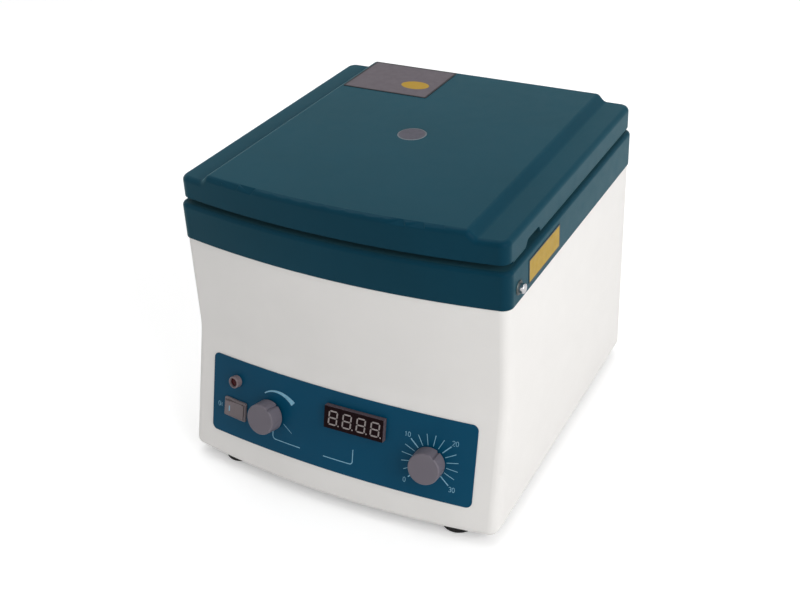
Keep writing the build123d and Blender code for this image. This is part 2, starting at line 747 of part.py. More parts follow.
# rocker switch: body with a pocket, and the rocker on its pivot
switch_face = panel_plane(switch_place)
pocket_size = (18.6, 12.2)
pivot_depth = 2.0
rocker_size = (16.8, 11.4)
with BuildPart() as switch_body:
    with BuildSketch(switch_face.offset(overlay_thickness)):
        RectangleRounded(*bezel_size, 1.0)
    extrude(amount=bezel_height)
    chamfer(switch_body.faces().sort_by_distance(switch_face.offset(50).origin)[0].edges(), 0.6)
    with BuildSketch(switch_face.offset(overlay_thickness)):
        Rectangle(switch_cutout[0] - 2 * cutout_clearance, switch_cutout[1] - 2 * cutout_clearance)
    extrude(amount=-16)
    with BuildSketch(switch_face.offset(overlay_thickness - 9)):
        Rectangle(*pocket_size)
    extrude(amount=9 + bezel_height, mode=Mode.SUBTRACT)
    with BuildSketch(switch_face.offset(overlay_thickness - 16)):
        with Locations((-6, 0), (0, 0), (6, 0)):
            Rectangle(0.8, 4.8)
    extrude(amount=-8)
save(switch_body.part, "switch_body")

pivot = switch_face.offset(overlay_thickness - pivot_depth)
tilt = radians(rocker_tilt)
rocker_along = pivot.x_dir * cos(tilt) - pivot.z_dir * sin(tilt)
rocker_section = Plane(origin=pivot.origin, x_dir=rocker_along, z_dir=-pivot.y_dir)
with BuildPart() as power_rocker:
    half_l = rocker_size[0] / 2
    with BuildSketch(rocker_section):
        with BuildLine():
            Polyline((-half_l, 1.5), (-half_l, 5.4), (0, 4.2), (half_l, 5.4), (half_l, 1.5), (4, -5),
                     (-4, -5), close=True)
        make_face()
    extrude(amount=rocker_size[1] / 2, both=True)
save(power_rocker.part, "power_rocker")

# rotary controls
speed_face = panel_plane(speed_place)
timer_face = panel_plane(timer_place)
nut_flats = 11.0
bush_top = overlay_thickness + knob_lift + 3.0
with BuildPart() as speed_potentiometer:
    with BuildSketch(speed_face.offset(-wall - 0.3)):
        Circle(12)
    extrude(amount=-11)
    with BuildSketch(speed_face.offset(-wall - 0.3)):
        Circle(bush_radius)
        Circle(knob_shaft_radius + running, mode=Mode.SUBTRACT)
    extrude(amount=wall + 0.3 + bush_top)
    with BuildSketch(speed_face.offset(-wall - 0.3)):
        Circle(knob_shaft_radius + running)
    extrude(amount=-2, mode=Mode.SUBTRACT)
    with BuildSketch(speed_face.offset(-wall - 3)):
        with Locations((-4, -13), (0, -13), (4, -13)):
            Rectangle(1.6, 6)
    extrude(amount=-1.2)
save(speed_potentiometer.part, "speed_potentiometer")

with BuildPart() as timer_movement:
    with BuildSketch(timer_face.offset(-wall - 0.6)):
        RectangleRounded(40, 40, 3)
    extrude(amount=-26)
    with BuildSketch(timer_face.offset(-wall - 0.6)):
        Circle(bush_radius)
        Circle(knob_shaft_radius + running, mode=Mode.SUBTRACT)
    extrude(amount=wall + 0.6 + bush_top)
    with BuildSketch(timer_face.offset(-wall - 0.6)):
        Circle(knob_shaft_radius + running)
    extrude(amount=-2, mode=Mode.SUBTRACT)
save(timer_movement.part, "timer_movement")

with BuildPart() as shaft_nuts:
    for face in (speed_face, timer_face):
        with BuildSketch(face.offset(overlay_thickness)):
            RegularPolygon(nut_flats / 2, 6, major_radius=False)
            Circle(bush_radius, mode=Mode.SUBTRACT)
        extrude(amount=2)
save(shaft_nuts.part, "shaft_nuts")


def knob(face, wall_gap, angle):
    """A knob with a pointer groove down its side, and its shaft that runs in the control's bush."""
    base = face.offset(overlay_thickness + knob_lift)
    shaft_start = -overlay_thickness - knob_lift - wall - wall_gap - 1.5
    with BuildPart() as piece:
        with BuildSketch(base):
            Circle(knob_radius)
        extrude(amount=knob_height, taper=1.5)
        top = piece.faces().sort_by_distance(face.offset(200).origin)[0]
        fillet(top.edges(), 1.2)
        with BuildSketch(base):
            Circle(9)
        extrude(amount=4.5, mode=Mode.SUBTRACT)
        with BuildSketch(base.offset(knob_height)):
            with Locations(Location((0, 0, 0), angle)):
                with Locations((knob_radius - 0.2, 0)):
                    Rectangle(1.6, knob_pointer_width)
        extrude(amount=-knob_height, mode=Mode.SUBTRACT)
        with BuildSketch(base.offset(shaft_start)):
            Circle(knob_shaft_radius)
        extrude(amount=4.6 - shaft_start)
    return piece.part


save(knob(speed_face, 0.3, speed_pointer_angle), "speed_knob")
save(knob(timer_face, 0.6, timer_pointer_angle), "timer_knob")

# ================================================================ rear: power inlet and fuse
rear_face = Plane(origin=(0, housing_rear, 0), x_dir=(-1, 0, 0), z_dir=(0, 1, 0))
inlet_centre = (-inlet_place[0], inlet_place[1])
inlet_flange = (50.0, 24.0)
inlet_flange_thickness = 2.5
inlet_depth = 20.0
socket_size = (24.4, 16.6)
socket_depth = 17.0
inlet_screw_spacing = 40.0
pin_size = (2.0, 4.0)
pin_length = 12.0
pin_places = ((-7.0, -1.5), (0.0, 2.5), (7.0, -1.5))

with BuildPart() as power_inlet:
    with BuildSketch(rear_face):
        with Locations(inlet_centre):
            RectangleRounded(*inlet_flange, 5)
    extrude(amount=inlet_flange_thickness)
    with BuildSketch(rear_face):
        with Locations(inlet_centre):
            RectangleRounded(inlet_cutout[0] - 0.4, inlet_cutout[1] - 0.4, 2)
    extrude(amount=-inlet_depth)
    with BuildSketch(rear_face.offset(inlet_flange_thickness)) as socket:
        with Locations(inlet_centre):
            Rectangle(*socket_size)
        chamfer(socket.vertices().group_by(Axis.Y)[-1], 4.0)
    extrude(amount=-socket_depth, mode=Mode.SUBTRACT)
    with BuildSketch(rear_face):
        with Locations(inlet_centre):
            with GridLocations(inlet_screw_spacing, 1, 2, 1):
                Circle(1.6)
    extrude(amount=inlet_flange_thickness, mode=Mode.SUBTRACT)
save(power_inlet.part, "power_inlet")

with BuildPart() as inlet_pins:
    with BuildSketch(rear_face.offset(inlet_flange_thickness - socket_depth)):
        with Locations([(inlet_centre[0] + x, inlet_centre[1] + z) for x, z in pin_places]):
            Rectangle(*pin_size)
    extrude(amount=pin_length)
    chamfer(inlet_pins.faces().filter_by(Axis.Y).group_by(Axis.Y)[-1].edges().filter_by(Axis.Z), 0.5)
save(inlet_pins.part, "inlet_pins")

fuse_centre = (-fuse_place[0], fuse_place[1])
with BuildPart() as fuse_holder:
    with BuildSketch(rear_face):
        with Locations(fuse_centre):
            Circle(fuse_radius + 2)
    extrude(amount=2)
    with BuildSketch(rear_face.offset(2)):
        with Locations(fuse_centre):
            Circle(fuse_radius - 0.5)
    extrude(amount=4.5)
    with BuildSketch(rear_face.offset(6.5)):
        with Locations(fuse_centre):
            Rectangle(8, 1.2)
    extrude(amount=-1.5, mode=Mode.SUBTRACT)
    with BuildSketch(rear_face):
        with Locations(fuse_centre):
            Circle(fuse_radius)
    extrude(amount=-30)
save(fuse_holder.part, "fuse_holder")

# ================================================================ power board
board_size = (96.0, 42.0)
board_centre = (-44.0, 90.0)
standoff_height = 8.0
standoff_reach = (board_size[0] / 2 - 5, board_size[1] / 2 - 5)
standoff_places = [(board_centre[0] + sx * standoff_reach[0], board_centre[1] + sy * standoff_reach[1])
                   for sx in (-1, 1) for sy in (-1, 1)]
board_z = base_top + standoff_height
board_top = board_z + board_thickness

with BuildPart() as board_standoffs:
    with BuildSketch(Plane.XY.offset(base_top)):
        with Locations(standoff_places):
            RegularPolygon(3.2, 6)
    extrude(amount=standoff_height)
    with BuildSketch(Plane.XY.offset(board_z)):
        with Locations(standoff_places):
            Circle(1.5)
    extrude(amount=board_thickness + 1.5)
save(board_standoffs.part, "board_standoffs")

with BuildPart() as power_board:
    with BuildSketch(Plane.XY.offset(board_z)):
        with Locations(board_centre):
            RectangleRounded(*board_size, 2)
        with Locations(standoff_places):
            Circle(1.6, mode=Mode.SUBTRACT)
    extrude(amount=board_thickness)
save(power_board.part, "power_board")

with BuildPart() as heat_sink:
    with BuildSketch(Plane.XY.offset(board_top)):
        with Locations((board_centre[0] - 16, board_centre[1])):
            Rectangle(46, 4)
            with Locations((0, 5)):
                with GridLocations(5, 1, 10, 1):
                    Rectangle(1.4, 8)
    extrude(amount=30)
save(heat_sink.part, "heat_sink")

with BuildPart() as smoothing_capacitor:
    with BuildSketch(Plane.XY.offset(board_top)):
        with Locations((board_centre[0] + 30, board_centre[1])):
            Circle(11)
    extrude(amount=32)
    fillet(smoothing_capacitor.faces().sort_by(Axis.Z)[-1].edges(), 1.2)
save(smoothing_capacitor.part, "smoothing_capacitor")

# ================================================================ lid
lid_rear = rear_y


def lid_section(inset, bottom):
    """Cross-section of the lid through its raised middle, offset inwards for its inside."""
    side = lid_half_width - inset
    low = ledge_z - inset
    high = plateau_z - inset
    top = plateau_half_width - inset * 0.5
    foot = top + ramp_width
    with BuildSketch() as section:
        with BuildLine():
            Polyline((-side, bottom), (-side, low), (-foot, low), (-top, high), (top, high), (foot, low),
                     (side, low), (side, bottom), close=True)
        make_face()
        ramp_corners = section.vertices().filter_by(lambda v: abs(v.X) < side - 1 and v.Y > bottom + 1)
        fillet(ramp_corners, ramp_rounding)
    return section.sketch


def lid_outline(inset):
    return bowed_outline(inset, front_bow_radius - lid_inset, lid_half_width, lid_rear)


liner_z = deck_z + flange_thickness + seal_height + fit_gap
liner_top = liner_z + liner_thickness
liner_boss_offset = 70.0
liner_boss_places = [(sx * liner_boss_offset, rotor_y + sy * liner_boss_offset)
                     for sx in (-1, 1) for sy in (-1, 1)]
hook_boss_place = (hook_x - 5.0, latch_place[0])
hook_boss_bottom = liner_top + 0.7
switch_boss_radius = 4.0

with BuildPart() as lid_shell:
    with BuildSketch(Plane.XZ.offset(-lid_rear)):
        add(lid_section(0, lid_z))
    extrude(amount=2 * corner_depth)
    with BuildSketch(Plane.XY.offset(lid_z)):
        add(lid_outline(0))
    extrude(amount=plateau_z - lid_z, mode=Mode.INTERSECT)
    top_edges = lid_shell.edges().filter_by(lambda e: e.center().Z > ledge_z - 0.1)
    inner_edges = top_edges.filter_by(lambda e: abs(e.center().X) < lid_half_width - 1)
    ramp_lines = inner_edges.filter_by(lambda e: e.length > corner_depth)
    fillet([e for e in top_edges if e not in ramp_lines], lid_rounding)
    fillet(lid_shell.faces().sort_by(Axis.Z)[0].edges(), lid_bottom_rounding)
    # the front edge is cut higher
    front_radius = front_bow_radius - lid_inset
    with BuildSketch(bow_plane):
        with Locations((front_radius + 2 - lid_front_cut / 2, lid_z + (lid_front_lift - 1) / 2)):
            Rectangle(lid_front_cut, lid_front_lift + 1)
    revolve(axis=bow_axis, revolution_arc=360, mode=Mode.SUBTRACT)
    # hollow underside, with its own raised middle
    with BuildSketch(Plane.XY.offset(lid_z)):
        add(lid_outline(wall))
    extrude(amount=ledge_z - wall - lid_z, mode=Mode.SUBTRACT)
    with BuildSketch(Plane.XY.offset(ledge_z - wall)):
        add(lid_outline(wall + 3))
        Rectangle(2 * (plateau_half_width - wall), 4 * corner_depth, mode=Mode.INTERSECT)
    extrude(amount=plateau_rise, mode=Mode.SUBTRACT)
    # posts for the liner, the latch hook and the lid switch
    with BuildSketch(Plane.XY.offset(liner_top)):
        with Locations(liner_boss_places):
            Circle(lid_boss_radius)
    extrude(amount=plateau_z - wall - liner_top)
    with BuildSketch(Plane.XY.offset(hook_boss_bottom)):
        with Locations(hook_boss_place):
            RectangleRounded(10, hook_width + 4, 2)
    extrude(amount=plateau_z - wall - hook_boss_bottom)
    with BuildSketch(Plane.XY.offset(lid_z)):
        with Locations(lid_switch_place):
            Circle(switch_boss_radius)
    extrude(amount=ledge_z - wall - lid_z)
    with Locations(*[Location((x, y, liner_top), (180, 0, 0)) for x, y in liner_boss_places]):
        Hole(screw_radius, depth=12)
    # finger recess in the right-hand skirt
    with BuildSketch(Plane.YZ.offset(lid_half_width - wall - 1)) as recess:
        rear_end = recess_front_y + recess_length
        top = lid_z + recess_height
        with BuildLine():
            Polyline((recess_front_y, lid_z - 1), (recess_front_y + recess_slopes[0], top),
                     (rear_end - recess_slopes[1], top), (rear_end, lid_z - 1), close=True)
        make_face()
        fillet(recess.vertices().group_by(Axis.Y)[-1], recess_rounding)
    extrude(amount=wall + 2, mode=Mode.SUBTRACT)
    # hole for the window
    with Locations((0, rotor_y, plateau_z)):
        Hole(window_radius + 0.05, depth=wall + 1)
save(lid_shell.part, "lid_shell")

window_z = plateau_z - wall
with BuildPart() as window_lens:
    with BuildSketch(Plane.XY.offset(window_z - 1.5)):
        with Locations((0, rotor_y)):
            Circle(window_radius + window_flange)
    extrude(amount=1.5)
    with BuildSketch(Plane.XY.offset(window_z)):
        with Locations((0, rotor_y)):
            Circle(window_radius)
    extrude(amount=wall)
    fillet(window_lens.faces().sort_by(Axis.Z)[-1].edges(), 0.5)
save(window_lens.part, "window_lens")

with BuildPart() as window_ring:
    with BuildSketch(Plane.XY.offset(window_z - 3.5)):
        with Locations((0, rotor_y)):
            Circle(window_radius + window_flange + 2)
            Circle(window_radius - 1, mode=Mode.SUBTRACT)
    extrude(amount=2)
save(window_ring.part, "window_ring")

with BuildPart() as lid_liner:
    with BuildSketch(Plane.XY.offset(liner_z)):
        with Locations((0, rotor_y)):
            Circle(liner_radius)
            Circle(window_radius + 1, mode=Mode.SUBTRACT)
        with Locations(liner_boss_places):
            Circle(screw_radius + 0.3, mode=Mode.SUBTRACT)
    extrude(amount=liner_thickness)
save(lid_liner.part, "lid_liner")

with BuildPart() as lid_label:
    with BuildSketch(Plane.XY.offset(plateau_z)):
        with Locations(lid_label_centre):
            RectangleRounded(*lid_label_size, 1.5)
    extrude(amount=label_thickness)
save(lid_label.part, "lid_label")

with BuildPart() as side_label:
    with BuildSketch(Plane.YZ.offset(half_width)):
        with Locations(side_label_centre):
            RectangleRounded(*side_label_size, 1.0)
    extrude(amount=label_thickness)
save(side_label.part, "side_label")

# ================================================================ hinge
hinge_axis_y = rear_y + hinge_stand
hinge_z = deck_z + lid_gap / 2
knuckle_count = 3
knuckle_gap = 0.4
knuckle_pitch = hinge_length / knuckle_count
web_inner = hinge_axis_y - knuckle_radius


def hinge_leaf(up, knuckles):
    """Leaves of both hinges: a plate on the rear face, and the knuckles that it is rolled into."""
    z_sign = 1 if up else -1
    with BuildPart() as leaves:
        for centre_x in (-hinge_x, hinge_x):
            with BuildSketch(Plane.XZ.offset(-rear_y)):
                with Locations((centre_x, hinge_z + z_sign * (knuckle_radius + 0.5 + hinge_leaf_height / 2))):
                    RectangleRounded(hinge_length, hinge_leaf_height, 1.5)
                    with Locations((-hinge_length / 2 + 7, 0), (hinge_length / 2 - 7, 0)):
                        Circle(1.7, mode=Mode.SUBTRACT)
            extrude(amount=-hinge_sheet)
            for index in knuckles:
                start_x = centre_x - hinge_length / 2 + index * knuckle_pitch + knuckle_gap / 2
                with BuildSketch(Plane.YZ.offset(start_x)):
                    with Locations((hinge_axis_y, hinge_z)):
                        Circle(knuckle_radius)
                    with BuildLine():
                        Polyline((rear_y, hinge_z + z_sign * (knuckle_radius + 3)),
                                 (rear_y + hinge_sheet, hinge_z + z_sign * (knuckle_radius + 3)),
                                 (web_inner + 2, hinge_z), (web_inner, hinge_z),
                                 (rear_y, hinge_z + z_sign * (knuckle_radius + 0.5)), close=True)
                    make_face()
                    with Locations((hinge_axis_y, hinge_z)):
                        Circle(hinge_pin_radius + running, mode=Mode.SUBTRACT)
                extrude(amount=knuckle_pitch - knuckle_gap)
    return leaves.part


save(hinge_leaf(False, (0, 2)), "hinge_frame_leaves")
save(hinge_leaf(True, (1,)), "hinge_lid_leaves")

with BuildPart() as hinge_pins:
    for centre_x in (-hinge_x, hinge_x):
        with BuildSketch(Plane.YZ.offset(centre_x - hinge_length / 2 - 0.6)):
            with Locations((hinge_axis_y, hinge_z)):
                Circle(hinge_pin_radius)
        extrude(amount=hinge_length + 1.2)
        for end_x, direction in ((centre_x - hinge_length / 2, -1), (centre_x + hinge_length / 2, 1)):
            with BuildSketch(Plane.YZ.offset(end_x)):
                with Locations((hinge_axis_y, hinge_z)):
                    Circle(hinge_pin_radius + 0.8)
            extrude(amount=direction * 1.0)
save(hinge_pins.part, "hinge_pins")


def rear_screws_at(places, face_y, grip):
    """Round-headed screws that hold a sheet or flange of thickness grip to a rear face."""
    with BuildPart() as screws:
        for x, z in places:
            seat = Plane(origin=(x, face_y, z), x_dir=(-1, 0, 0), z_dir=(0, 1, 0))
            with BuildSketch(seat):
                Circle(1.5)
            extrude(amount=0.05 - grip)
            with BuildSketch(seat):
                Circle(2.8)
            extrude(amount=1.5)
            with BuildSketch(seat.offset(1.5)):
                Rectangle(3.6, 0.7)
                Rectangle(0.7, 3.6)
            extrude(amount=-0.9, mode=Mode.SUBTRACT)
    return screws.part


leaf_screw_z = knuckle_radius + 0.5 + hinge_leaf_height / 2
leaf_screw_x = [centre_x + side * (hinge_length / 2 - 7)
                for centre_x in (-hinge_x, hinge_x) for side in (-1, 1)]
inlet_screw_places = [(inlet_place[0] + side * inlet_screw_spacing / 2, inlet_place[1]) for side in (-1, 1)]
leaf_face = rear_y + hinge_sheet
with BuildPart() as rear_screws:
    add(rear_screws_at([(x, hinge_z - leaf_screw_z) for x in leaf_screw_x], leaf_face, hinge_sheet))
    add(rear_screws_at(inlet_screw_places, housing_rear + inlet_flange_thickness, inlet_flange_thickness))
save(rear_screws.part, "rear_screws")

with BuildPart() as lid_screws:
    add(rear_screws_at([(x, hinge_z + leaf_screw_z) for x in leaf_screw_x], leaf_face, hinge_sheet))
    add(pan_head_screws(liner_boss_places, liner_z, liner_thickness + 10))
save(lid_screws.part, "lid_screws")

# ================================================================ lid latch
latch_y, latch_z = latch_place
bracket_sheet = 1.5
hook_face = hook_x + hook_sheet / 2
hook_nose = 0.4
keeper_edge = hook_face + hook_nose + 0.4
rod_end = hook_face + hook_nose + button_travel + fit_gap
clip_thickness = 1.0
clip_x = rod_end + 2.5
bracket_x = clip_x + clip_thickness + fit_gap
guide_end = half_width - 11.0
button_back = half_width - 9.0
latch_plane = Plane.YZ
under_deck = deck_z - wall

with BuildPart() as latch_guide:
    for start_x, end_x, radius in ((guide_end, half_width, button_radius + guide_wall),
                                   (half_width, half_width + 0.8, button_radius + guide_rim),
                                   (half_width - wall - 3, half_width - wall, button_radius + 3.5)):
        with BuildSketch(latch_plane.offset(start_x)):
            with Locations(latch_place):
                Circle(radius)
                Circle(button_radius + running, mode=Mode.SUBTRACT)
        extrude(amount=end_x - start_x)
    chamfer(latch_guide.faces().sort_by(Axis.X)[-1].outer_wire().edges(), 0.4)
save(latch_guide.part, "latch_guide")

with BuildPart() as latch_button:
    with BuildSketch(latch_plane.offset(button_back)):
        with Locations(latch_place):
            Circle(button_radius)
    extrude(amount=half_width + button_stand - button_back)
    fillet(latch_button.faces().sort_by(Axis.X)[-1].edges(), 0.8)
    with BuildSketch(latch_plane.offset(rod_end)):
        with Locations(latch_place):
            Circle(rod_radius)
    extrude(amount=button_back - rod_end)
    with BuildSketch(latch_plane.offset(clip_x)):
        with Locations(latch_place):
            Circle(rod_radius + 1.6)
    extrude(amount=clip_thickness)
save(latch_button.part, "latch_button")

spring_radius = 2.9
spring_wire = 0.35
spring_start = bracket_x + bracket_sheet + spring_wire
spring_length = button_back - spring_start - spring_wire
with BuildPart() as latch_spring:
    with BuildLine() as coil:
        Helix(pitch=spring_length / 6, height=spring_length, radius=spring_radius,
              center=(spring_start, latch_y, latch_z), direction=(1, 0, 0))
    with BuildSketch(Plane(origin=coil.line @ 0, z_dir=coil.line % 0)):
        Circle(spring_wire)
    sweep(is_frenet=True)
save(latch_spring.part, "latch_spring")

keeper_z = latch_z + 5.0
with BuildPart() as latch_bracket:
    with BuildSketch(latch_plane.offset(bracket_x)):
        with Locations((latch_y, (latch_z - 6 + under_deck) / 2)):
            Rectangle(hook_width + 4, under_deck - latch_z + 6)
        with Locations(latch_place):
            Circle(rod_radius + 0.25, mode=Mode.SUBTRACT)
    extrude(amount=bracket_sheet)
    with BuildSketch(Plane.XY.offset(under_deck - bracket_sheet)):
        with Locations((bracket_x + 6, latch_y)):
            Rectangle(12, hook_width + 4)
    extrude(amount=bracket_sheet)
    with BuildSketch(Plane.XY.offset(keeper_z)):
        with Locations(((keeper_edge + bracket_x) / 2, latch_y)):
            Rectangle(bracket_x - keeper_edge, hook_width + 4)
    extrude(amount=bracket_sheet)
save(latch_bracket.part, "latch_bracket")

with BuildPart() as latch_hook:
    with BuildSketch(Plane.XZ.offset(-latch_y - hook_width / 2)):
        with BuildLine():
            Polyline((hook_face, hook_boss_bottom), (hook_boss_place[0] - 4, hook_boss_bottom),
                     (hook_boss_place[0] - 4, hook_boss_bottom - hook_sheet),
                     (hook_face - hook_sheet, hook_boss_bottom - hook_sheet),
                     (hook_face - hook_sheet, latch_z - 3),
                     (hook_face + hook_nose, latch_z - 1), (hook_face + hook_nose, keeper_z - fit_gap),
                     (hook_face, keeper_z - fit_gap), close=True)
        make_face()
    extrude(amount=hook_width)
save(latch_hook.part, "latch_hook")

# ================================================================ lid switch
switch_x, switch_y = lid_switch_place
plunger_top = lid_z - fit_gap
lid_switch_depth = 18.0
plunger_foot = under_deck - lid_switch_depth + plunger_travel + 2.0

with BuildPart() as lid_switch:
    with BuildSketch(Plane.XY.offset(under_deck)):
        with Locations(lid_switch_place):
            Rectangle(10, 24)
    extrude(amount=-lid_switch_depth)
    with Locations((switch_x, switch_y, under_deck)):
        Hole(plunger_radius + running, depth=lid_switch_depth - 1.5)
    with BuildSketch(Plane.XY.offset(under_deck - lid_switch_depth)):
        with Locations([(switch_x, switch_y + dy) for dy in (-8, 0, 8)]):
            Rectangle(4, 0.8)
    extrude(amount=-5)
save(lid_switch.part, "lid_switch")

with BuildPart() as lid_switch_plunger:
    with BuildSketch(Plane.XY.offset(plunger_foot)):
        with Locations(lid_switch_place):
            Circle(plunger_radius)
    extrude(amount=plunger_top - plunger_foot)
    fillet(lid_switch_plunger.faces().sort_by(Axis.Z)[-1].edges(), 0.6)
save(lid_switch_plunger.part, "lid_switch_plunger")
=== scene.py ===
from math import asin, cos, pi, radians, sin, sqrt, tan

import bmesh
import bpy
from mathutils import Matrix, Vector


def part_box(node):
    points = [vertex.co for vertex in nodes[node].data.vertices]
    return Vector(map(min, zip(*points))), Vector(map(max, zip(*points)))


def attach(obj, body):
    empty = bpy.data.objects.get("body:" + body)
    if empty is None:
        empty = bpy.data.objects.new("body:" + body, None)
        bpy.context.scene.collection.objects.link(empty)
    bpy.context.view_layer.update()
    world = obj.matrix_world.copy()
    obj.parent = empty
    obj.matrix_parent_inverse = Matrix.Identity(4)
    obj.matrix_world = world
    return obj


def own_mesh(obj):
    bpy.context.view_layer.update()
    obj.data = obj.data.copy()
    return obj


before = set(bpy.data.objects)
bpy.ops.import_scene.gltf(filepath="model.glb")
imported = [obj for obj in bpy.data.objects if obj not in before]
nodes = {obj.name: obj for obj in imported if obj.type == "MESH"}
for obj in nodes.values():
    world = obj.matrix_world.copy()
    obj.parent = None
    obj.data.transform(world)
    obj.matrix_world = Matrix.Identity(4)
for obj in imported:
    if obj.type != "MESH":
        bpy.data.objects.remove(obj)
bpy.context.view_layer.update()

# ---------------------------------------------------------------- main housing
# The lower case is one injection moulding in warm white plastic with a fine
# spark-eroded grain. It is bowed in plan and its front flares out to the foot.
# Screws hold it to the base plate below and to the upper frame above.
housing_white = (0.775, 0.758, 0.737)
flow_cloud = 0.045
gloss_patch = 0.012
gloss_swing = 0.12
noise_middle = (0.3, 0.7)


def bare_finish(name):
    """An empty material, with its node tree and its main shader."""
    finish = bpy.data.materials.new(name)
    finish.use_nodes = True
    tree = finish.node_tree
    return finish, tree, tree.nodes["Principled BSDF"]


def mottle(tree, size, detail=2.0, stretch=(1, 1, 1)):
    """Uneven patches about size metres across, longer along an axis by its stretch."""
    place = tree.nodes.new("ShaderNodeTexCoord")
    scaling = tree.nodes.new("ShaderNodeMapping")
    scaling.inputs["Scale"].default_value = tuple(1 / (size * s) for s in stretch)
    tree.links.new(place.outputs["Object"], scaling.inputs["Vector"])
    cloud = tree.nodes.new("ShaderNodeTexNoise")
    cloud.inputs["Scale"].default_value = 1.0
    cloud.inputs["Detail"].default_value = detail
    tree.links.new(scaling.outputs["Vector"], cloud.inputs["Vector"])
    return cloud.outputs["Fac"]


def between(tree, patches, low, high):
    """Spreads the middle of the patches' range from low to high."""
    ranged = tree.nodes.new("ShaderNodeMapRange")
    ranged.inputs["From Min"].default_value = noise_middle[0]
    ranged.inputs["From Max"].default_value = noise_middle[1]
    ranged.inputs["To Min"].default_value = low
    ranged.inputs["To Max"].default_value = high
    tree.links.new(patches, ranged.inputs["Value"])
    return ranged.outputs["Result"]


def two_tone(tree, mask, first, second):
    """The first colour where the mask is 0 and the second where it is 1."""
    mixer = tree.nodes.new("ShaderNodeMix")
    mixer.data_type = "RGBA"
    tree.links.new(mask, mixer.inputs["Factor"])
    for socket, colour in ((mixer.inputs[6], first), (mixer.inputs[7], second)):
        if isinstance(colour, tuple):
            socket.default_value = (*colour, 1)
        else:
            tree.links.new(colour, socket)
    return mixer.outputs[2]


def raised_grain(tree, main, patches, depth):
    """Raises the surface by the patches, depth metres high."""
    bump = tree.nodes.new("ShaderNodeBump")
    bump.inputs["Distance"].default_value = depth
    bump.inputs["Strength"].default_value = 1.0
    tree.links.new(patches, bump.inputs["Height"])
    tree.links.new(bump.outputs["Normal"], main.inputs["Normal"])


def moulded(name, colour, rough, grain, depth, variation, gloss=0.2, bloom=0.0, bloom_tint=(1, 1, 1)):
    """Moulded plastic, rubber or a coat: fine grain, faint clouds in colour and gloss, and a bloom."""
    finish, tree, main = bare_finish(name)
    main.inputs["Specular IOR Level"].default_value = gloss
    main.inputs["Sheen Weight"].default_value = bloom
    main.inputs["Sheen Tint"].default_value = (*bloom_tint, 1)
    darker = tuple(c * (1 - variation) for c in colour)
    clouds = between(tree, mottle(tree, flow_cloud, 3.0), 0, 1)
    tree.links.new(two_tone(tree, clouds, darker, colour), main.inputs["Base Color"])
    patches = mottle(tree, gloss_patch, 4.0)
    sheen = between(tree, patches, rough * (1 - gloss_swing), rough * (1 + gloss_swing))
    tree.links.new(sheen, main.inputs["Roughness"])
    raised_grain(tree, main, mottle(tree, grain), depth)
    return finish


def dress(finish, *names):
    """Gives CAD nodes a finish in their material slots."""
    for name in names:
        for slot in nodes[name].material_slots:
            slot.material = finish
        if not nodes[name].material_slots:
            nodes[name].data.materials.append(finish)


dress(moulded("warm_white_case", housing_white, rough=0.42, grain=0.00045, depth=0.00002, variation=0.025),
      "main_housing")

# ---------------------------------------------------------------- frame and lid
# The upper frame and the lid are moulded from one satin teal plastic with a
# finer grain than the case, which blooms a little at low angles. The frame is
# screwed to the case, and the lid turns on two butt hinges at its rear.
cover_teal = (0.0008, 0.032, 0.058)
teal_bloom = (0.4, 0.95, 1)
crisp_edge_angle = radians(32)


def worked(tree, operation, *values):
    """One step of arithmetic on sockets and numbers."""
    step = tree.nodes.new("ShaderNodeMath")
    step.operation = operation
    for socket, value in zip(step.inputs, values):
        if isinstance(value, (int, float)):
            socket.default_value = value
        else:
            tree.links.new(value, socket)
    return step.outputs[0]


def even_lid_shading():
    """Keeps the lid's shading even over its wide faces, with modifiers that leave its mesh as it is."""
    edges = bpy.data.node_groups.new("lid_edges", "GeometryNodeTree")
    for side in ("INPUT", "OUTPUT"):
        edges.interface.new_socket("Geometry", in_out=side, socket_type="NodeSocketGeometry")
    shell = edges.nodes.new("NodeGroupInput")
    shaded = edges.nodes.new("NodeGroupOutput")
    bend = edges.nodes.new("GeometryNodeInputMeshEdgeAngle")
    crisp = worked(edges, "GREATER_THAN", bend.outputs["Unsigned Angle"], crisp_edge_angle)
    shading = edges.nodes.new("GeometryNodeSetMeshNormal")
    shading.mode = "SHARPNESS"
    shading.inputs["Remove Custom"].default_value = True
    shading.inputs["Face Sharpness"].default_value = False
    edges.links.new(crisp, shading.inputs["Edge Sharpness"])
    edges.links.new(shell.outputs[0], shading.inputs["Mesh"])
    edges.links.new(shading.outputs["Mesh"], shaded.inputs[0])
    nodes["lid_shell"].modifiers.new("lid_edges", "NODES").node_group = edges
    nodes["lid_shell"].modifiers.new("even_normals", "WEIGHTED_NORMAL").keep_sharp = True


dress(moulded("satin_teal", cover_teal, rough=0.34, grain=0.0003, depth=0.000012, variation=0.1,
              gloss=0.035, bloom=0.2, bloom_tint=teal_bloom),
      "upper_frame", "lid_shell")
even_lid_shading()

# ---------------------------------------------------------------- feet and rubber
# Moulded black rubber, matt and slightly dusty. The feet are screwed through the
# base plate, the dampers carry the motor's plate, and the boot closes the
# chamber's floor round the motor's shaft.
foot_black = (0.018, 0.018, 0.019)
dress(moulded("black_foot_rubber", foot_black, rough=0.75, grain=0.0006, depth=0.00005, variation=0.35),
      "rubber_feet", "motor_dampers", "shaft_boot")

# ---------------------------------------------------------------- base plate and motor can
# Pressed steel with a powder coat, which leaves an orange peel. The plate closes
# the case from below, and the can holds the motor's magnets and armature, whose
# varnish looks the same.
coat_black = (0.045, 0.046, 0.05)
dress(moulded("powder_coat", coat_black, rough=0.5, grain=0.0012, depth=0.00006, variation=0.2),
      "base_plate", "motor_can", "armature")

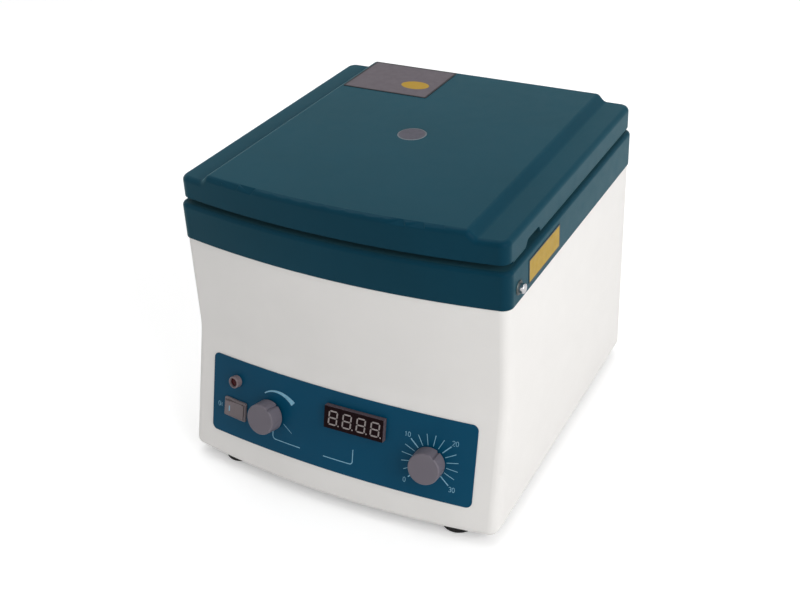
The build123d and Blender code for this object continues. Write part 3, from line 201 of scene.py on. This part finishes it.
# ---------------------------------------------------------------- small black parts
# Sockets, switch, rings and sleeves moulded in plain black plastic. The brushes
# and magnets are pressed and sintered, and as dark.
part_black = (0.02, 0.02, 0.022)
dress(moulded("black_moulding", part_black, rough=0.38, grain=0.0004, depth=0.000015, variation=0.2),
      "power_inlet", "fuse_holder", "lid_switch", "lid_switch_plunger", "window_ring", "smoothing_capacitor",
      "carbon_brushes", "field_magnets")

# ---------------------------------------------------------------- chamber seal and boards
# The seal is a moulded grey rubber ring on the bowl's rim, under the lid's liner.
# The two circuit boards are green glass laminate, one on standoffs and one
# behind the display.
seal_grey = (0.17, 0.175, 0.18)
board_green = (0.02, 0.13, 0.055)
dress(moulded("seal_rubber", seal_grey, rough=0.7, grain=0.0005, depth=0.00003, variation=0.15),
      "chamber_seal")
dress(moulded("board_green", board_green, rough=0.3, grain=0.0009, depth=0.00001, variation=0.2),
      "power_board", "display_board")

# ---------------------------------------------------------------- sheet metal
# The bowl, the carriers, the hinges' leaves and the lid's liner are pressed and
# folded from brushed stainless sheet, so their marks run one way.
stainless = (0.6, 0.61, 0.62)
brushed_upright = (1, 1, 40)
brushed_across = (40, 1, 1)
mark_shade = 0.82
metal_gloss_swing = 0.25


def metal(name, colour, rough, size, stretch, depth):
    """Metal with the marks of a tool or a brush, longer along an axis by their stretch."""
    finish, tree, main = bare_finish(name)
    main.inputs["Metallic"].default_value = 1.0
    marks = mottle(tree, size, 3.0, stretch)
    darker = tuple(c * mark_shade for c in colour)
    tree.links.new(two_tone(tree, between(tree, marks, 0, 1), darker, colour), main.inputs["Base Color"])
    sheen = between(tree, mottle(tree, size * 3, 2.0, stretch), rough * (1 - metal_gloss_swing),
                    rough * (1 + metal_gloss_swing))
    tree.links.new(sheen, main.inputs["Roughness"])
    raised_grain(tree, main, marks, depth)
    return finish


dress(metal("brushed_stainless", stainless, rough=0.3, size=0.0005, stretch=brushed_upright, depth=0.000006),
      "chamber_bowl", "plate_carriers", "hinge_frame_leaves", "hinge_lid_leaves")
dress(metal("brushed_liner", stainless, rough=0.3, size=0.0005, stretch=brushed_across, depth=0.000006),
      "lid_liner")

# ---------------------------------------------------------------- fixings and turned parts
# Screws, pins, springs, brackets and shafts are steel with bright zinc. The
# rotor's plate and nut, the motor's caps and the heat sink are turned or
# milled aluminium, the terminals and holders brass, and the commutator copper.
even_marks = (1, 1, 1)
turned_flat = (30, 30, 1)
barred_upright = (1, 1, 20)
zinc = (0.62, 0.63, 0.65)
aluminium = (0.68, 0.69, 0.7)
brass = (0.68, 0.5, 0.22)
copper = (0.72, 0.36, 0.2)
dress(metal("bright_zinc", zinc, rough=0.28, size=0.0012, stretch=even_marks, depth=0.000008),
      "lid_screws", "rear_screws", "housing_screws", "damper_screws", "hinge_pins", "latch_spring",
      "latch_bracket", "latch_hook", "motor_plate", "motor_shaft", "shaft_nuts", "speed_potentiometer",
      "timer_movement")
dress(metal("turned_aluminium", aluminium, rough=0.33, size=0.0004, stretch=turned_flat, depth=0.000006),
      "rotor_plate", "rotor_nut", "motor_end_caps", "heat_sink")
dress(metal("bright_brass", brass, rough=0.25, size=0.001, stretch=even_marks, depth=0.000004),
      "inlet_pins", "board_standoffs", "brush_holders")
dress(metal("copper_bars", copper, rough=0.25, size=0.0008, stretch=barred_upright, depth=0.000004),
      "commutator")

# ---------------------------------------------------------------- latch button, guide and spring
# The button is polished chrome, as bright as the motor's bearings, and its guide
# in the frame is duller. The coil spring stands between the bracket and the
# button's back, so the button shortens it by its travel.
chrome = (0.6, 0.6, 0.62)
dull_chrome = (0.09, 0.11, 0.11)
dress(metal("polished_chrome", chrome, rough=0.12, size=0.004, stretch=even_marks, depth=0.000002),
      "latch_button", "motor_bearings")
dress(metal("dulled_chrome", dull_chrome, rough=0.4, size=0.002, stretch=even_marks, depth=0.000004),
      "latch_guide")
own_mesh(nodes["latch_spring"])

# ---------------------------------------------------------------- lid window
# A frosted clear disc, let into the lid from below until it is nearly flush and
# held by a ring, so that the stopped rotor can be seen. Its face is finely
# scratched. Its rim has a painted highlight: a paler colour than its middle.
# The rim's paler colour is a painted highlight, beyond this radius from the disc's middle.
painted_highlight_radius = 0.0101
window_middle = (0.086, 0.08, 0.112)
painted_rim_highlight = (0.17, 0.21, 0.24)
window_clearness = 0.35
window_bending = 1.49
frost_patch = 0.003
frost_rough = (0.3, 0.5)
scratch_width = 0.0002
scratch_stretch = 6
scratch_depth = 0.000008


def along_axis(tree, axis):
    """One object coordinate, in metres."""
    place = tree.nodes.new("ShaderNodeTexCoord")
    split = tree.nodes.new("ShaderNodeSeparateXYZ")
    tree.links.new(place.outputs["Object"], split.inputs["Vector"])
    return split.outputs[axis]


def frosted_window():
    finish, tree, main = bare_finish("frosted_window")
    low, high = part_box("window_lens")
    from_axis = [worked(tree, "SUBTRACT", along_axis(tree, axis), (low[k] + high[k]) / 2)
                 for k, axis in enumerate("XY")]
    squares = [worked(tree, "MULTIPLY", side, side) for side in from_axis]
    radius = worked(tree, "SQRT", worked(tree, "ADD", *squares))
    # Painted highlight: the outer ring of the disc gets the paler colour, standing in for light caught by its
    # edge.
    in_painted_highlight = worked(tree, "GREATER_THAN", radius, painted_highlight_radius)
    tree.links.new(two_tone(tree, in_painted_highlight, window_middle, painted_rim_highlight), main.inputs["Base Color"])
    main.inputs["Transmission Weight"].default_value = window_clearness
    main.inputs["IOR"].default_value = window_bending
    tree.links.new(between(tree, mottle(tree, frost_patch, 4.0), *frost_rough), main.inputs["Roughness"])
    raised_grain(tree, main, mottle(tree, scratch_width, 3.0, (1, scratch_stretch, 1)), scratch_depth)
    return finish


dress(frosted_window(), "window_lens")

# ---------------------------------------------------------------- labels
# Printed polyester labels with a dark border, glued to the lid and to the
# frame's right side. The lid's is mauve grey with one ochre patch, and the
# side's is ochre. They carry no text.
lid_label_ground = (0.118, 0.1, 0.116)
lid_label_edge = (0.02, 0.018, 0.022)
lid_label_border = 0.0016
patch_centre = (-0.0428, 0.0976)
patch_radii = (0.0122, 0.0080)
patch_ochre = (0.4, 0.24, 0.015)
side_label_ground = (0.405, 0.25, 0.006)
side_label_edge = (0.02, 0.03, 0.035)
side_label_border = 0.0011
label_shade = 0.88
label_gloss = 0.2
label_patch = 0.004
label_sheen_patch = 0.006
label_rough = (0.3, 0.42)
label_grain = 0.0008
label_grain_depth = 0.000006


def beyond_border(tree, axes, centre, half):
    """1 where a point lies outside a rectangle, else 0."""
    past = []
    for axis, c, h in zip(axes, centre, half):
        distance = worked(tree, "ABSOLUTE", worked(tree, "SUBTRACT", along_axis(tree, axis), c))
        past.append(worked(tree, "SUBTRACT", distance, h))
    return worked(tree, "GREATER_THAN", worked(tree, "MAXIMUM", *past), 0.0)


def in_oval(tree, axes, centre, radii):
    """1 where a point lies inside an oval, else 0."""
    shares = [worked(tree, "DIVIDE", worked(tree, "SUBTRACT", along_axis(tree, axis), c), r)
              for axis, c, r in zip(axes, centre, radii)]
    squares = [worked(tree, "MULTIPLY", share, share) for share in shares]
    return worked(tree, "LESS_THAN", worked(tree, "ADD", *squares), 1.0)


def label(name, node, axes, ground, edge, border, patch=None):
    """A printed label with a border, and optionally an oval patch of another colour."""
    low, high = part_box(node)
    centre = [(low["XYZ".index(a)] + high["XYZ".index(a)]) / 2 for a in axes]
    half = [(high["XYZ".index(a)] - low["XYZ".index(a)]) / 2 - border for a in axes]
    finish, tree, main = bare_finish(name)
    clouds = between(tree, mottle(tree, label_patch, 4.0), 0, 1)
    colour = two_tone(tree, clouds, tuple(c * label_shade for c in ground), ground)
    if patch:
        patch_middle, radii, patch_colour = patch
        colour = two_tone(tree, in_oval(tree, axes, patch_middle, radii), colour, patch_colour)
    colour = two_tone(tree, beyond_border(tree, axes, centre, half), colour, edge)
    tree.links.new(colour, main.inputs["Base Color"])
    main.inputs["Specular IOR Level"].default_value = label_gloss
    sheen = between(tree, mottle(tree, label_sheen_patch, 3.0), *label_rough)
    tree.links.new(sheen, main.inputs["Roughness"])
    raised_grain(tree, main, mottle(tree, label_grain), label_grain_depth)
    dress(finish, node)


label("lid_label_film", "lid_label", "XY", lid_label_ground, lid_label_edge, lid_label_border,
      (patch_centre, patch_radii, patch_ochre))
label("side_label_film", "side_label", "YZ", side_label_ground, side_label_edge, side_label_border)

# ---------------------------------------------------------------- front panel film
# A blue polyester film, bowed and sloped with the front of the case and glued to
# it. The controls come through it, and their places are in millimetres across
# the front and up from the feet.
mm = 0.001
panel_blue = (0.0008, 0.058, 0.117)
front_bow_radius = 700.0
front_half_width = 130.0
front_corner_y = -110.1
bow_centre = front_corner_y + sqrt(front_bow_radius**2 - front_half_width**2)
case_face_radius = 699.2
flare_top = 105.15
flare = radians(13.7)
film = 0.6
dress(moulded("panel_film", panel_blue, rough=0.36, grain=0.0003, depth=0.000006, variation=0.08,
              gloss=0.09),
      "panel_overlay")


def panel_axes(x, z):
    """Directions on the sloping front: to the right, up the slope and out of the face."""
    turn = asin(x / (case_face_radius + (flare_top - z) * tan(flare)))
    out = Vector((sin(turn) * cos(flare), -cos(turn) * cos(flare), sin(flare)))
    across = Vector((cos(turn), sin(turn), 0))
    return across, out.cross(across), out


def on_panel(x, z, lift=0.0):
    """A point on the sloping front, lift millimetres out from the case's face."""
    radius = case_face_radius + (flare_top - z) * tan(flare)
    return (Vector((x, bow_centre - sqrt(radius**2 - x**2), z)) + panel_axes(x, z)[2] * lift) * mm


# ---------------------------------------------------------------- panel print
# The panel's marks are screen printed on the film in one pale blue ink. The ink
# stands a little above the film, so each group of marks is a thin mesh of its own.
ink_dark = (0.15, 0.35, 0.48)
ink_pale = (0.21, 0.44, 0.58)
ink_height = 0.05


def mottled(name, dark, pale, patch, sheen_patch, rough, gloss=0.5):
    """A finish whose colour and gloss vary in small patches."""
    finish, tree, main = bare_finish(name)
    main.inputs["Specular IOR Level"].default_value = gloss
    colours = between(tree, mottle(tree, *patch), 0, 1)
    tree.links.new(two_tone(tree, colours, dark, pale), main.inputs["Base Color"])
    tree.links.new(between(tree, mottle(tree, sheen_patch), *rough), main.inputs["Roughness"])
    return finish


def make_piece(name, draw, finish, body):
    """Makes a mesh piece in code and puts it on its body."""
    mesh = bmesh.new()
    draw(mesh)
    bmesh.ops.recalc_face_normals(mesh, faces=mesh.faces)
    data = bpy.data.meshes.new(name)
    mesh.to_mesh(data)
    mesh.free()
    piece = bpy.data.objects.new(name, data)
    bpy.context.scene.collection.objects.link(piece)
    data.materials.append(finish)
    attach(piece, body)


def stepped(line, step=4.0):
    """The same line with extra points, so that it follows the bow of what it lies on."""
    points = [line[0]]
    for (au, av), (bu, bv) in zip(line, line[1:]):
        count = max(1, round(sqrt((bu - au) ** 2 + (bv - av) ** 2) / step))
        points += [(au + (bu - au) * k / count, av + (bv - av) * k / count) for k in range(1, count + 1)]
    return points


def close_sides(mesh, first, second):
    """Joins two rings of points with one band of faces."""
    count = len(first)
    for k in range(count):
        after = (k + 1) % count
        mesh.faces.new((first[k], first[after], second[after], second[k]))


def ribbon(mesh, line, widths, place):
    """A flat printed line with its own thickness; a list of widths lets it swell along its length."""
    if not isinstance(widths, list):
        line = stepped(line)
    rings = []
    for i, (u, v) in enumerate(line):
        before, after = line[max(i - 1, 0)], line[min(i + 1, len(line) - 1)]
        along = Vector((after[0] - before[0], after[1] - before[1])).normalized()
        width = widths[i] if isinstance(widths, list) else widths
        side = Vector((-along.y, along.x)) * width / 2
        rings.append([mesh.verts.new(place(u + s * side.x, v + s * side.y, h))
                      for s, h in ((-1, 0.0), (1, 0.0), (1, ink_height), (-1, ink_height))])
    for first, second in zip(rings, rings[1:]):
        close_sides(mesh, first, second)
    mesh.faces.new(rings[0][::-1])
    mesh.faces.new(rings[-1])


def from_control(centre):
    """Places a mark by millimetres right of and up the slope from a control's middle."""
    def place(u, v, lift):
        return on_panel(centre[0] + u, centre[1] + v * cos(flare), film + lift)
    return place


panel_ink = mottled("pale_panel_ink", ink_dark, ink_pale, patch=(0.002, 3.0), sheen_patch=0.001,
                    rough=(0.4, 0.55))

# ---------------------------------------------------------------- timer scale
# Sixteen printed marks round the timer's knob, one for each two minutes, with a
# figure at every fifth. The fifth marks are broader.
timer_centre = (77.3, 57.0)
timer_start = 225
timer_step = 18
timer_marks = 16
timer_minutes = 2
long_every = 5
mark_inner = 12.6
mark_outer = 21.2
mark_width = 0.48
figure_mark_width = 0.75
figure_circle = 25.0
figure_height = 3.6
figure_stroke = 0.36
figure_pitch = 0.72
round_figures = "0O"
round_figure_height = 2.0


def round_point(radius, degrees, centre=(0, 0)):
    """A point on a circle, at an angle from the right."""
    return centre[0] + radius * cos(radians(degrees)), centre[1] + radius * sin(radians(degrees))


def arc(radius, start, end, steps, centre=(0, 0)):
    """Points along a circle, from a start to an end angle in degrees."""
    return [round_point(radius, start + (end - start) * i / steps, centre) for i in range(steps + 1)]


# Each figure's strokes, from -1 to 1 about its middle. The round ones are drawn as circles.
strokes = {
    "0": [arc(0.5, 0, 360, 24)],
    "1": [[(-0.2, 0.6), (0.1, 1.0), (0.1, -1.0)]],
    "2": [arc(0.5, 165, -35, 14, (0, 0.5)) + [(-0.5, -1.0), (0.55, -1.0)]],
    "3": [arc(0.5, 150, -90, 14, (0, 0.5)), arc(0.5, 90, -150, 14, (0, -0.5))],
    "O": [arc(0.6, 0, 360, 24)],
    "N": [[(-0.5, -1.0), (-0.5, 1.0), (0.5, -1.0), (0.5, 1.0)]],
}


def printed(mesh, text, at, height, place):
    """Plain stroke figures, centred on a point. The circles are pulled out to their full height."""
    for index, figure in enumerate(text):
        shift = at[0] + (index - (len(text) - 1) / 2) * height * figure_pitch
        tall = round_figure_height if figure in round_figures else 1.0
        for line in strokes[figure]:
            points = [(shift + x * height / 2, at[1] + y * tall * height / 2) for x, y in line]
            ribbon(mesh, points, figure_stroke, place)


def timer_print(mesh):
    place = from_control(timer_centre)
    for step in range(timer_marks):
        angle = timer_start - timer_step * step
        width = mark_width if step % long_every else figure_mark_width
        ribbon(mesh, [round_point(mark_inner, angle), round_point(mark_outer, angle)], width, place)
    for step in range(0, timer_marks, long_every):
        figure_place = round_point(figure_circle, timer_start - timer_step * step)
        printed(mesh, str(timer_minutes * step), figure_place, figure_height, place)


make_piece("timer_scale_print", timer_print, panel_ink, "case")

# ---------------------------------------------------------------- speed marks
# A printed sweep that swells clockwise over the speed knob, a short lead line,
# and two bent lines below. They are printed with the timer's scale.
speed_centre = (-54.3, 58.2)
sweep_parts = 30
sweep_start = 110
sweep_turn = 75
sweep_radius = 16.5
sweep_growth = 8.3
sweep_width = 0.9
sweep_swell = 3.3
swell_power = 1.8
lead_line = [(12.5, -3.9), (20.2, -9.3)]
lead_width = 0.35
left_bend = [(3.3, -12.5)] + arc(2.8, 180, 270, 8, (6.1, -15.7)) + [(28.1, -18.5)]
right_bend = [(48.2, -18.5)] + arc(2.4, 270, 360, 8, (70.2, -16.1)) + [(72.6, -6.7)]
bend_width = 0.6


def speed_print(mesh):
    place = from_control(speed_centre)
    parts = [i / sweep_parts for i in range(sweep_parts + 1)]
    sweep = [round_point(sweep_radius + sweep_growth * t, sweep_start - sweep_turn * t) for t in parts]
    ribbon(mesh, sweep, [sweep_width + sweep_swell * t**swell_power for t in parts], place)
    ribbon(mesh, lead_line, lead_width, place)
    ribbon(mesh, left_bend, bend_width, place)
    ribbon(mesh, right_bend, bend_width, place)


make_piece("speed_print", speed_print, panel_ink, "case")

# ---------------------------------------------------------------- switch word
# The word ON, printed to the left of the power switch in the same ink. It reads
# across the panel, and is smaller than the timer's figures.
switch_centre = (-86.9, 52.0)
switch_word_place = (-16.0, -1.4)
switch_word_height = 3.0


def switch_print(mesh):
    printed(mesh, "ON", switch_word_place, switch_word_height, from_control(switch_centre))


make_piece("switch_print", switch_print, panel_ink, "case")

# ---------------------------------------------------------------- knobs
# Two knobs moulded in mauve-grey plastic, a little glossier than the case, each
# pushed onto its shaft. A pointer groove runs down the side.
knob_grey = (0.15, 0.135, 0.16)
dress(moulded("mauve_grey_knob", knob_grey, rough=0.36, grain=0.0004, depth=0.00001, variation=0.08),
      "speed_knob", "timer_knob")

# ---------------------------------------------------------------- power switch
# A rocker on a pivot in its bezel, both moulded in mauve-grey plastic, snapped
# into the panel. An upright bar is inked on the rocker's left half.
switch_grey = (0.175, 0.148, 0.156)
rocker_tilt = radians(6)
pivot_depth = 2.0
rocker_height = 4.2
rocker_rise = 1.2
rocker_half_length = 8.4
ink_clearance = 0.01
bar_place = -4.6
bar_half_height = 2.2
bar_width = 0.8
rocker_pivot = on_panel(*switch_centre, film - pivot_depth)
rocker_right, rocker_up, rocker_out = panel_axes(*switch_centre)
dress(moulded("mauve_grey_switch", switch_grey, rough=0.34, grain=0.0004, depth=0.00001, variation=0.08),
      "power_rocker", "switch_body")


def rocker_mark(mesh):
    """The bar follows the tilted rocker, which rises from its middle to its ends."""
    along = rocker_right * cos(rocker_tilt) - rocker_out * sin(rocker_tilt)
    out = rocker_out * cos(rocker_tilt) + rocker_right * sin(rocker_tilt)

    def place(u, v, lift):
        surface = rocker_height + rocker_rise * abs(u) / rocker_half_length + ink_clearance
        return rocker_pivot + (along * u + rocker_up * v + out * (surface + lift)) * mm
    ribbon(mesh, [(bar_place, v) for v in (-bar_half_height, 0, bar_half_height)], bar_width, place)


make_piece("rocker_mark", rocker_mark, panel_ink, "power_switch_rocker")

# ---------------------------------------------------------------- display
# A four-digit block: pale reflector body, dark filled face, and unlit segments
# that show as pale bars. It is soldered to its board, and its face stands a
# little proud of the panel.
display_centre = (19.2, 73.5)
display_stand = 4.0
reflector_grey = (0.1, 0.075, 0.085)
face_black = (0.008, 0.002, 0.003)
facing_limit = 0.9
face_gloss = 0.05
face_patch = 0.003
face_rough = (0.2, 0.34)
segment_dark = (0.22, 0.19, 0.185)
segment_pale = (0.28, 0.245, 0.24)
digits = 4
digit_half_width = 3.2
digit_half_height = 5.2
digit_pitch = 11.3
digit_shift = 0.4
segment_width = 1.1
segment_tip = 0.15
segment_gap = 0.35
slant = 0.07
dot_radius = 0.6
dot_sides = 16
dot_offset = (1.7, -0.1)
display_right, display_up, display_out = panel_axes(*display_centre)


def display_block():
    """Dark where the block faces out of the panel, and pale on its sides."""
    finish, tree, main = bare_finish("display_block")
    place = tree.nodes.new("ShaderNodeTexCoord")
    facing = tree.nodes.new("ShaderNodeVectorMath")
    facing.operation = "DOT_PRODUCT"
    facing.inputs[1].default_value = display_out
    tree.links.new(place.outputs["Normal"], facing.inputs[0])
    on_face = worked(tree, "GREATER_THAN", facing.outputs["Value"], facing_limit)
    tree.links.new(two_tone(tree, on_face, reflector_grey, face_black), main.inputs["Base Color"])
    main.inputs["Specular IOR Level"].default_value = face_gloss
    tree.links.new(between(tree, mottle(tree, face_patch, 3.0), *face_rough), main.inputs["Roughness"])
    return finish


def display_segments(mesh):
    """Seven bars and a point for each of the four figures."""
    surface = on_panel(*display_centre) + display_out * (film + display_stand) * mm

    def place(u, v, lift):
        lifted = display_out * (lift + ink_clearance)
        return surface + (display_right * (u + v * slant) + display_up * v + lifted) * mm
    w, h = digit_half_width, digit_half_height
    for digit in range(digits):
        x = (digit - (digits - 1) / 2) * digit_pitch + digit_shift
        bars = [((x - w + segment_gap, y), (x + w - segment_gap, y)) for y in (-h, 0, h)]
        for edge in (x - w, x + w):
            bars += [((edge, low + segment_gap), (edge, low + h - segment_gap)) for low in (-h, 0)]
        for (ax, ay), (bx, by) in bars:
            step = Vector((bx - ax, by - ay)).normalized() * segment_width / 2
            line = [(ax, ay), (ax + step.x, ay + step.y), (bx - step.x, by - step.y), (bx, by)]
            ribbon(mesh, line, [segment_tip, segment_width, segment_width, segment_tip], place)
        dot_centre = (x + w + dot_offset[0], -h + dot_offset[1])
        dot = [round_point(dot_radius, 360 * k / dot_sides, dot_centre) for k in range(dot_sides)]
        foot = [mesh.verts.new(place(u, v, 0)) for u, v in dot]
        top = [mesh.verts.new(place(u, v, ink_height)) for u, v in dot]
        mesh.faces.new(foot[::-1])
        mesh.faces.new(top)
        close_sides(mesh, foot, top)


dress(display_block(), "display_module")
unlit_segments = mottled("unlit_segments", segment_dark, segment_pale, patch=(0.0015, 2.0), sheen_patch=0.001,
                         rough=(0.35, 0.5))
make_piece("display_segments", display_segments, unlit_segments, "case")

# ---------------------------------------------------------------- lamp
# A short mauve-grey plastic tube, held by a nut behind the panel, with a lens of
# dark red plastic let into its mouth and set back from its rim.
tube_grey = (0.2, 0.155, 0.165)
lens_dark = (0.03, 0.0005, 0.002)
lens_red = (0.07, 0.001, 0.004)
dress(moulded("lamp_tube", tube_grey, rough=0.4, grain=0.0004, depth=0.00001, variation=0.08), "lamp_bezel")
dress(mottled("dark_red_lens", lens_dark, lens_red, patch=(0.001, 2.0), sheen_patch=0.002, rough=(0.12, 0.2),
              gloss=0.15),
      "lamp_lens")

# ---------------------------------------------------------------- floor
# Not part of the object: a plain pale sheet that lies flat under it and runs up
# behind it in one curve. A little glow keeps it white to the camera.
floor_reach = 6.0
cove_start = 3.0
cove_radius = 1.5
cove_steps = 24
floor_shade = (0.90, 0.90, 0.90)
floor_white = (0.92, 0.92, 0.92)
floor_glow = 0.28
floor_patch = 0.4
floor_rough = 0.9


def pale_floor():
    finish, tree, main = bare_finish("pale_floor")
    patches = between(tree, mottle(tree, floor_patch), 0, 1)
    tree.links.new(two_tone(tree, patches, floor_shade, floor_white), main.inputs["Base Color"])
    main.inputs["Roughness"].default_value = floor_rough
    main.inputs["Emission Color"].default_value = (1, 1, 1, 1)
    rays = tree.nodes.new("ShaderNodeLightPath")
    glow = worked(tree, "MULTIPLY", rays.outputs["Is Camera Ray"], floor_glow)
    tree.links.new(glow, main.inputs["Emission Strength"])
    return finish


def studio_floor():
    mesh = bmesh.new()
    profile = [(-floor_reach, 0.0), (cove_start, 0.0)]
    for step in range(1, cove_steps + 1):
        turn = pi / 2 * step / cove_steps
        profile.append((cove_start + cove_radius * sin(turn), cove_radius - cove_radius * cos(turn)))
    profile.append((cove_start + cove_radius, floor_reach))
    rows = [[mesh.verts.new((x, y, z)) for x in (-floor_reach, floor_reach)] for y, z in profile]
    for near, far in zip(rows, rows[1:]):
        mesh.faces.new((near[0], near[1], far[1], far[0])).smooth = True
    data = bpy.data.meshes.new("studio_floor")
    mesh.to_mesh(data)
    mesh.free()
    sheet = bpy.data.objects.new("studio_floor", data)
    bpy.context.scene.collection.objects.link(sheet)
    data.materials.append(pale_floor())


studio_floor()

# ---------------------------------------------------------------- light
# Three soft boxes: a broad one at the right, one overhead and a weak one at the
# front. An even sky lights the rest, and it is white to the camera, in gloss
# and through clear parts.
light_aim = Vector((0, 0, 0.12))
sky_strength = 0.475


def soft_box(name, place, size, watts):
    light = bpy.data.lights.new(name, "AREA")
    light.shape = "RECTANGLE"
    light.size = size[0]
    light.size_y = size[1]
    light.energy = watts
    box = bpy.data.objects.new(name, light)
    box.location = place
    box.rotation_mode = "QUATERNION"
    box.rotation_quaternion = (light_aim - Vector(place)).to_track_quat("-Z", "Y")
    bpy.context.scene.collection.objects.link(box)


def studio_sky():
    sky = bpy.data.worlds.new("studio_sky")
    bpy.context.scene.world = sky
    sky.use_nodes = True
    tree = sky.node_tree
    background = tree.nodes["Background"]
    background.inputs["Color"].default_value = (1, 1, 1, 1)
    rays = tree.nodes.new("ShaderNodeLightPath")
    seen = worked(tree, "MAXIMUM", rays.outputs["Is Camera Ray"], rays.outputs["Is Glossy Ray"])
    seen = worked(tree, "MAXIMUM", seen, rays.outputs["Is Transmission Ray"])
    whiter = worked(tree, "MULTIPLY", seen, 1 - sky_strength)
    tree.links.new(worked(tree, "ADD", whiter, sky_strength), background.inputs["Strength"])


soft_box("right_box", place=(1.8, -0.6, 1.0), size=(1.6, 1.4), watts=24)
soft_box("top_box", place=(-0.3, 0.5, 2.2), size=(1.8, 1.8), watts=19)
soft_box("front_box", place=(-0.6, -2.2, 1.1), size=(1.6, 1.2), watts=1)
studio_sky()

# ---------------------------------------------------------------- camera
# A little above the lid, looking down at the front right corner and rolled
# slightly. The lens is shifted a little, as on a view camera, and the focal
# length is in pixels of an 800 by 600 frame.
azimuth = radians(28.218)
elevation = radians(27.929)
roll = radians(-2.361)
eye = Vector((0.3770, -0.6930, 0.5874))
focal_pixels = 1160.65
frame_pixels = 800
sensor_width = 36
nearest = 0.01
lens_shift = (-0.02, -0.10)
back = Vector((sin(azimuth) * cos(elevation), -cos(azimuth) * cos(elevation), sin(elevation)))
level = Vector((cos(azimuth), sin(azimuth), 0))
upward = back.cross(level)
right = level * cos(roll) + upward * sin(roll)
top = upward * cos(roll) - level * sin(roll)
lens = bpy.data.cameras.new("camera")
lens.sensor_width = sensor_width
lens.lens = focal_pixels / frame_pixels * sensor_width
lens.clip_start = nearest
lens.shift_x, lens.shift_y = lens_shift
camera = bpy.data.objects.new("camera", lens)
bpy.context.scene.collection.objects.link(camera)
camera.matrix_world = Matrix((right, top, back)).transposed().to_4x4()
camera.location = eye
bpy.context.scene.camera = camera
bpy.context.scene.view_settings.view_transform = "Standard"
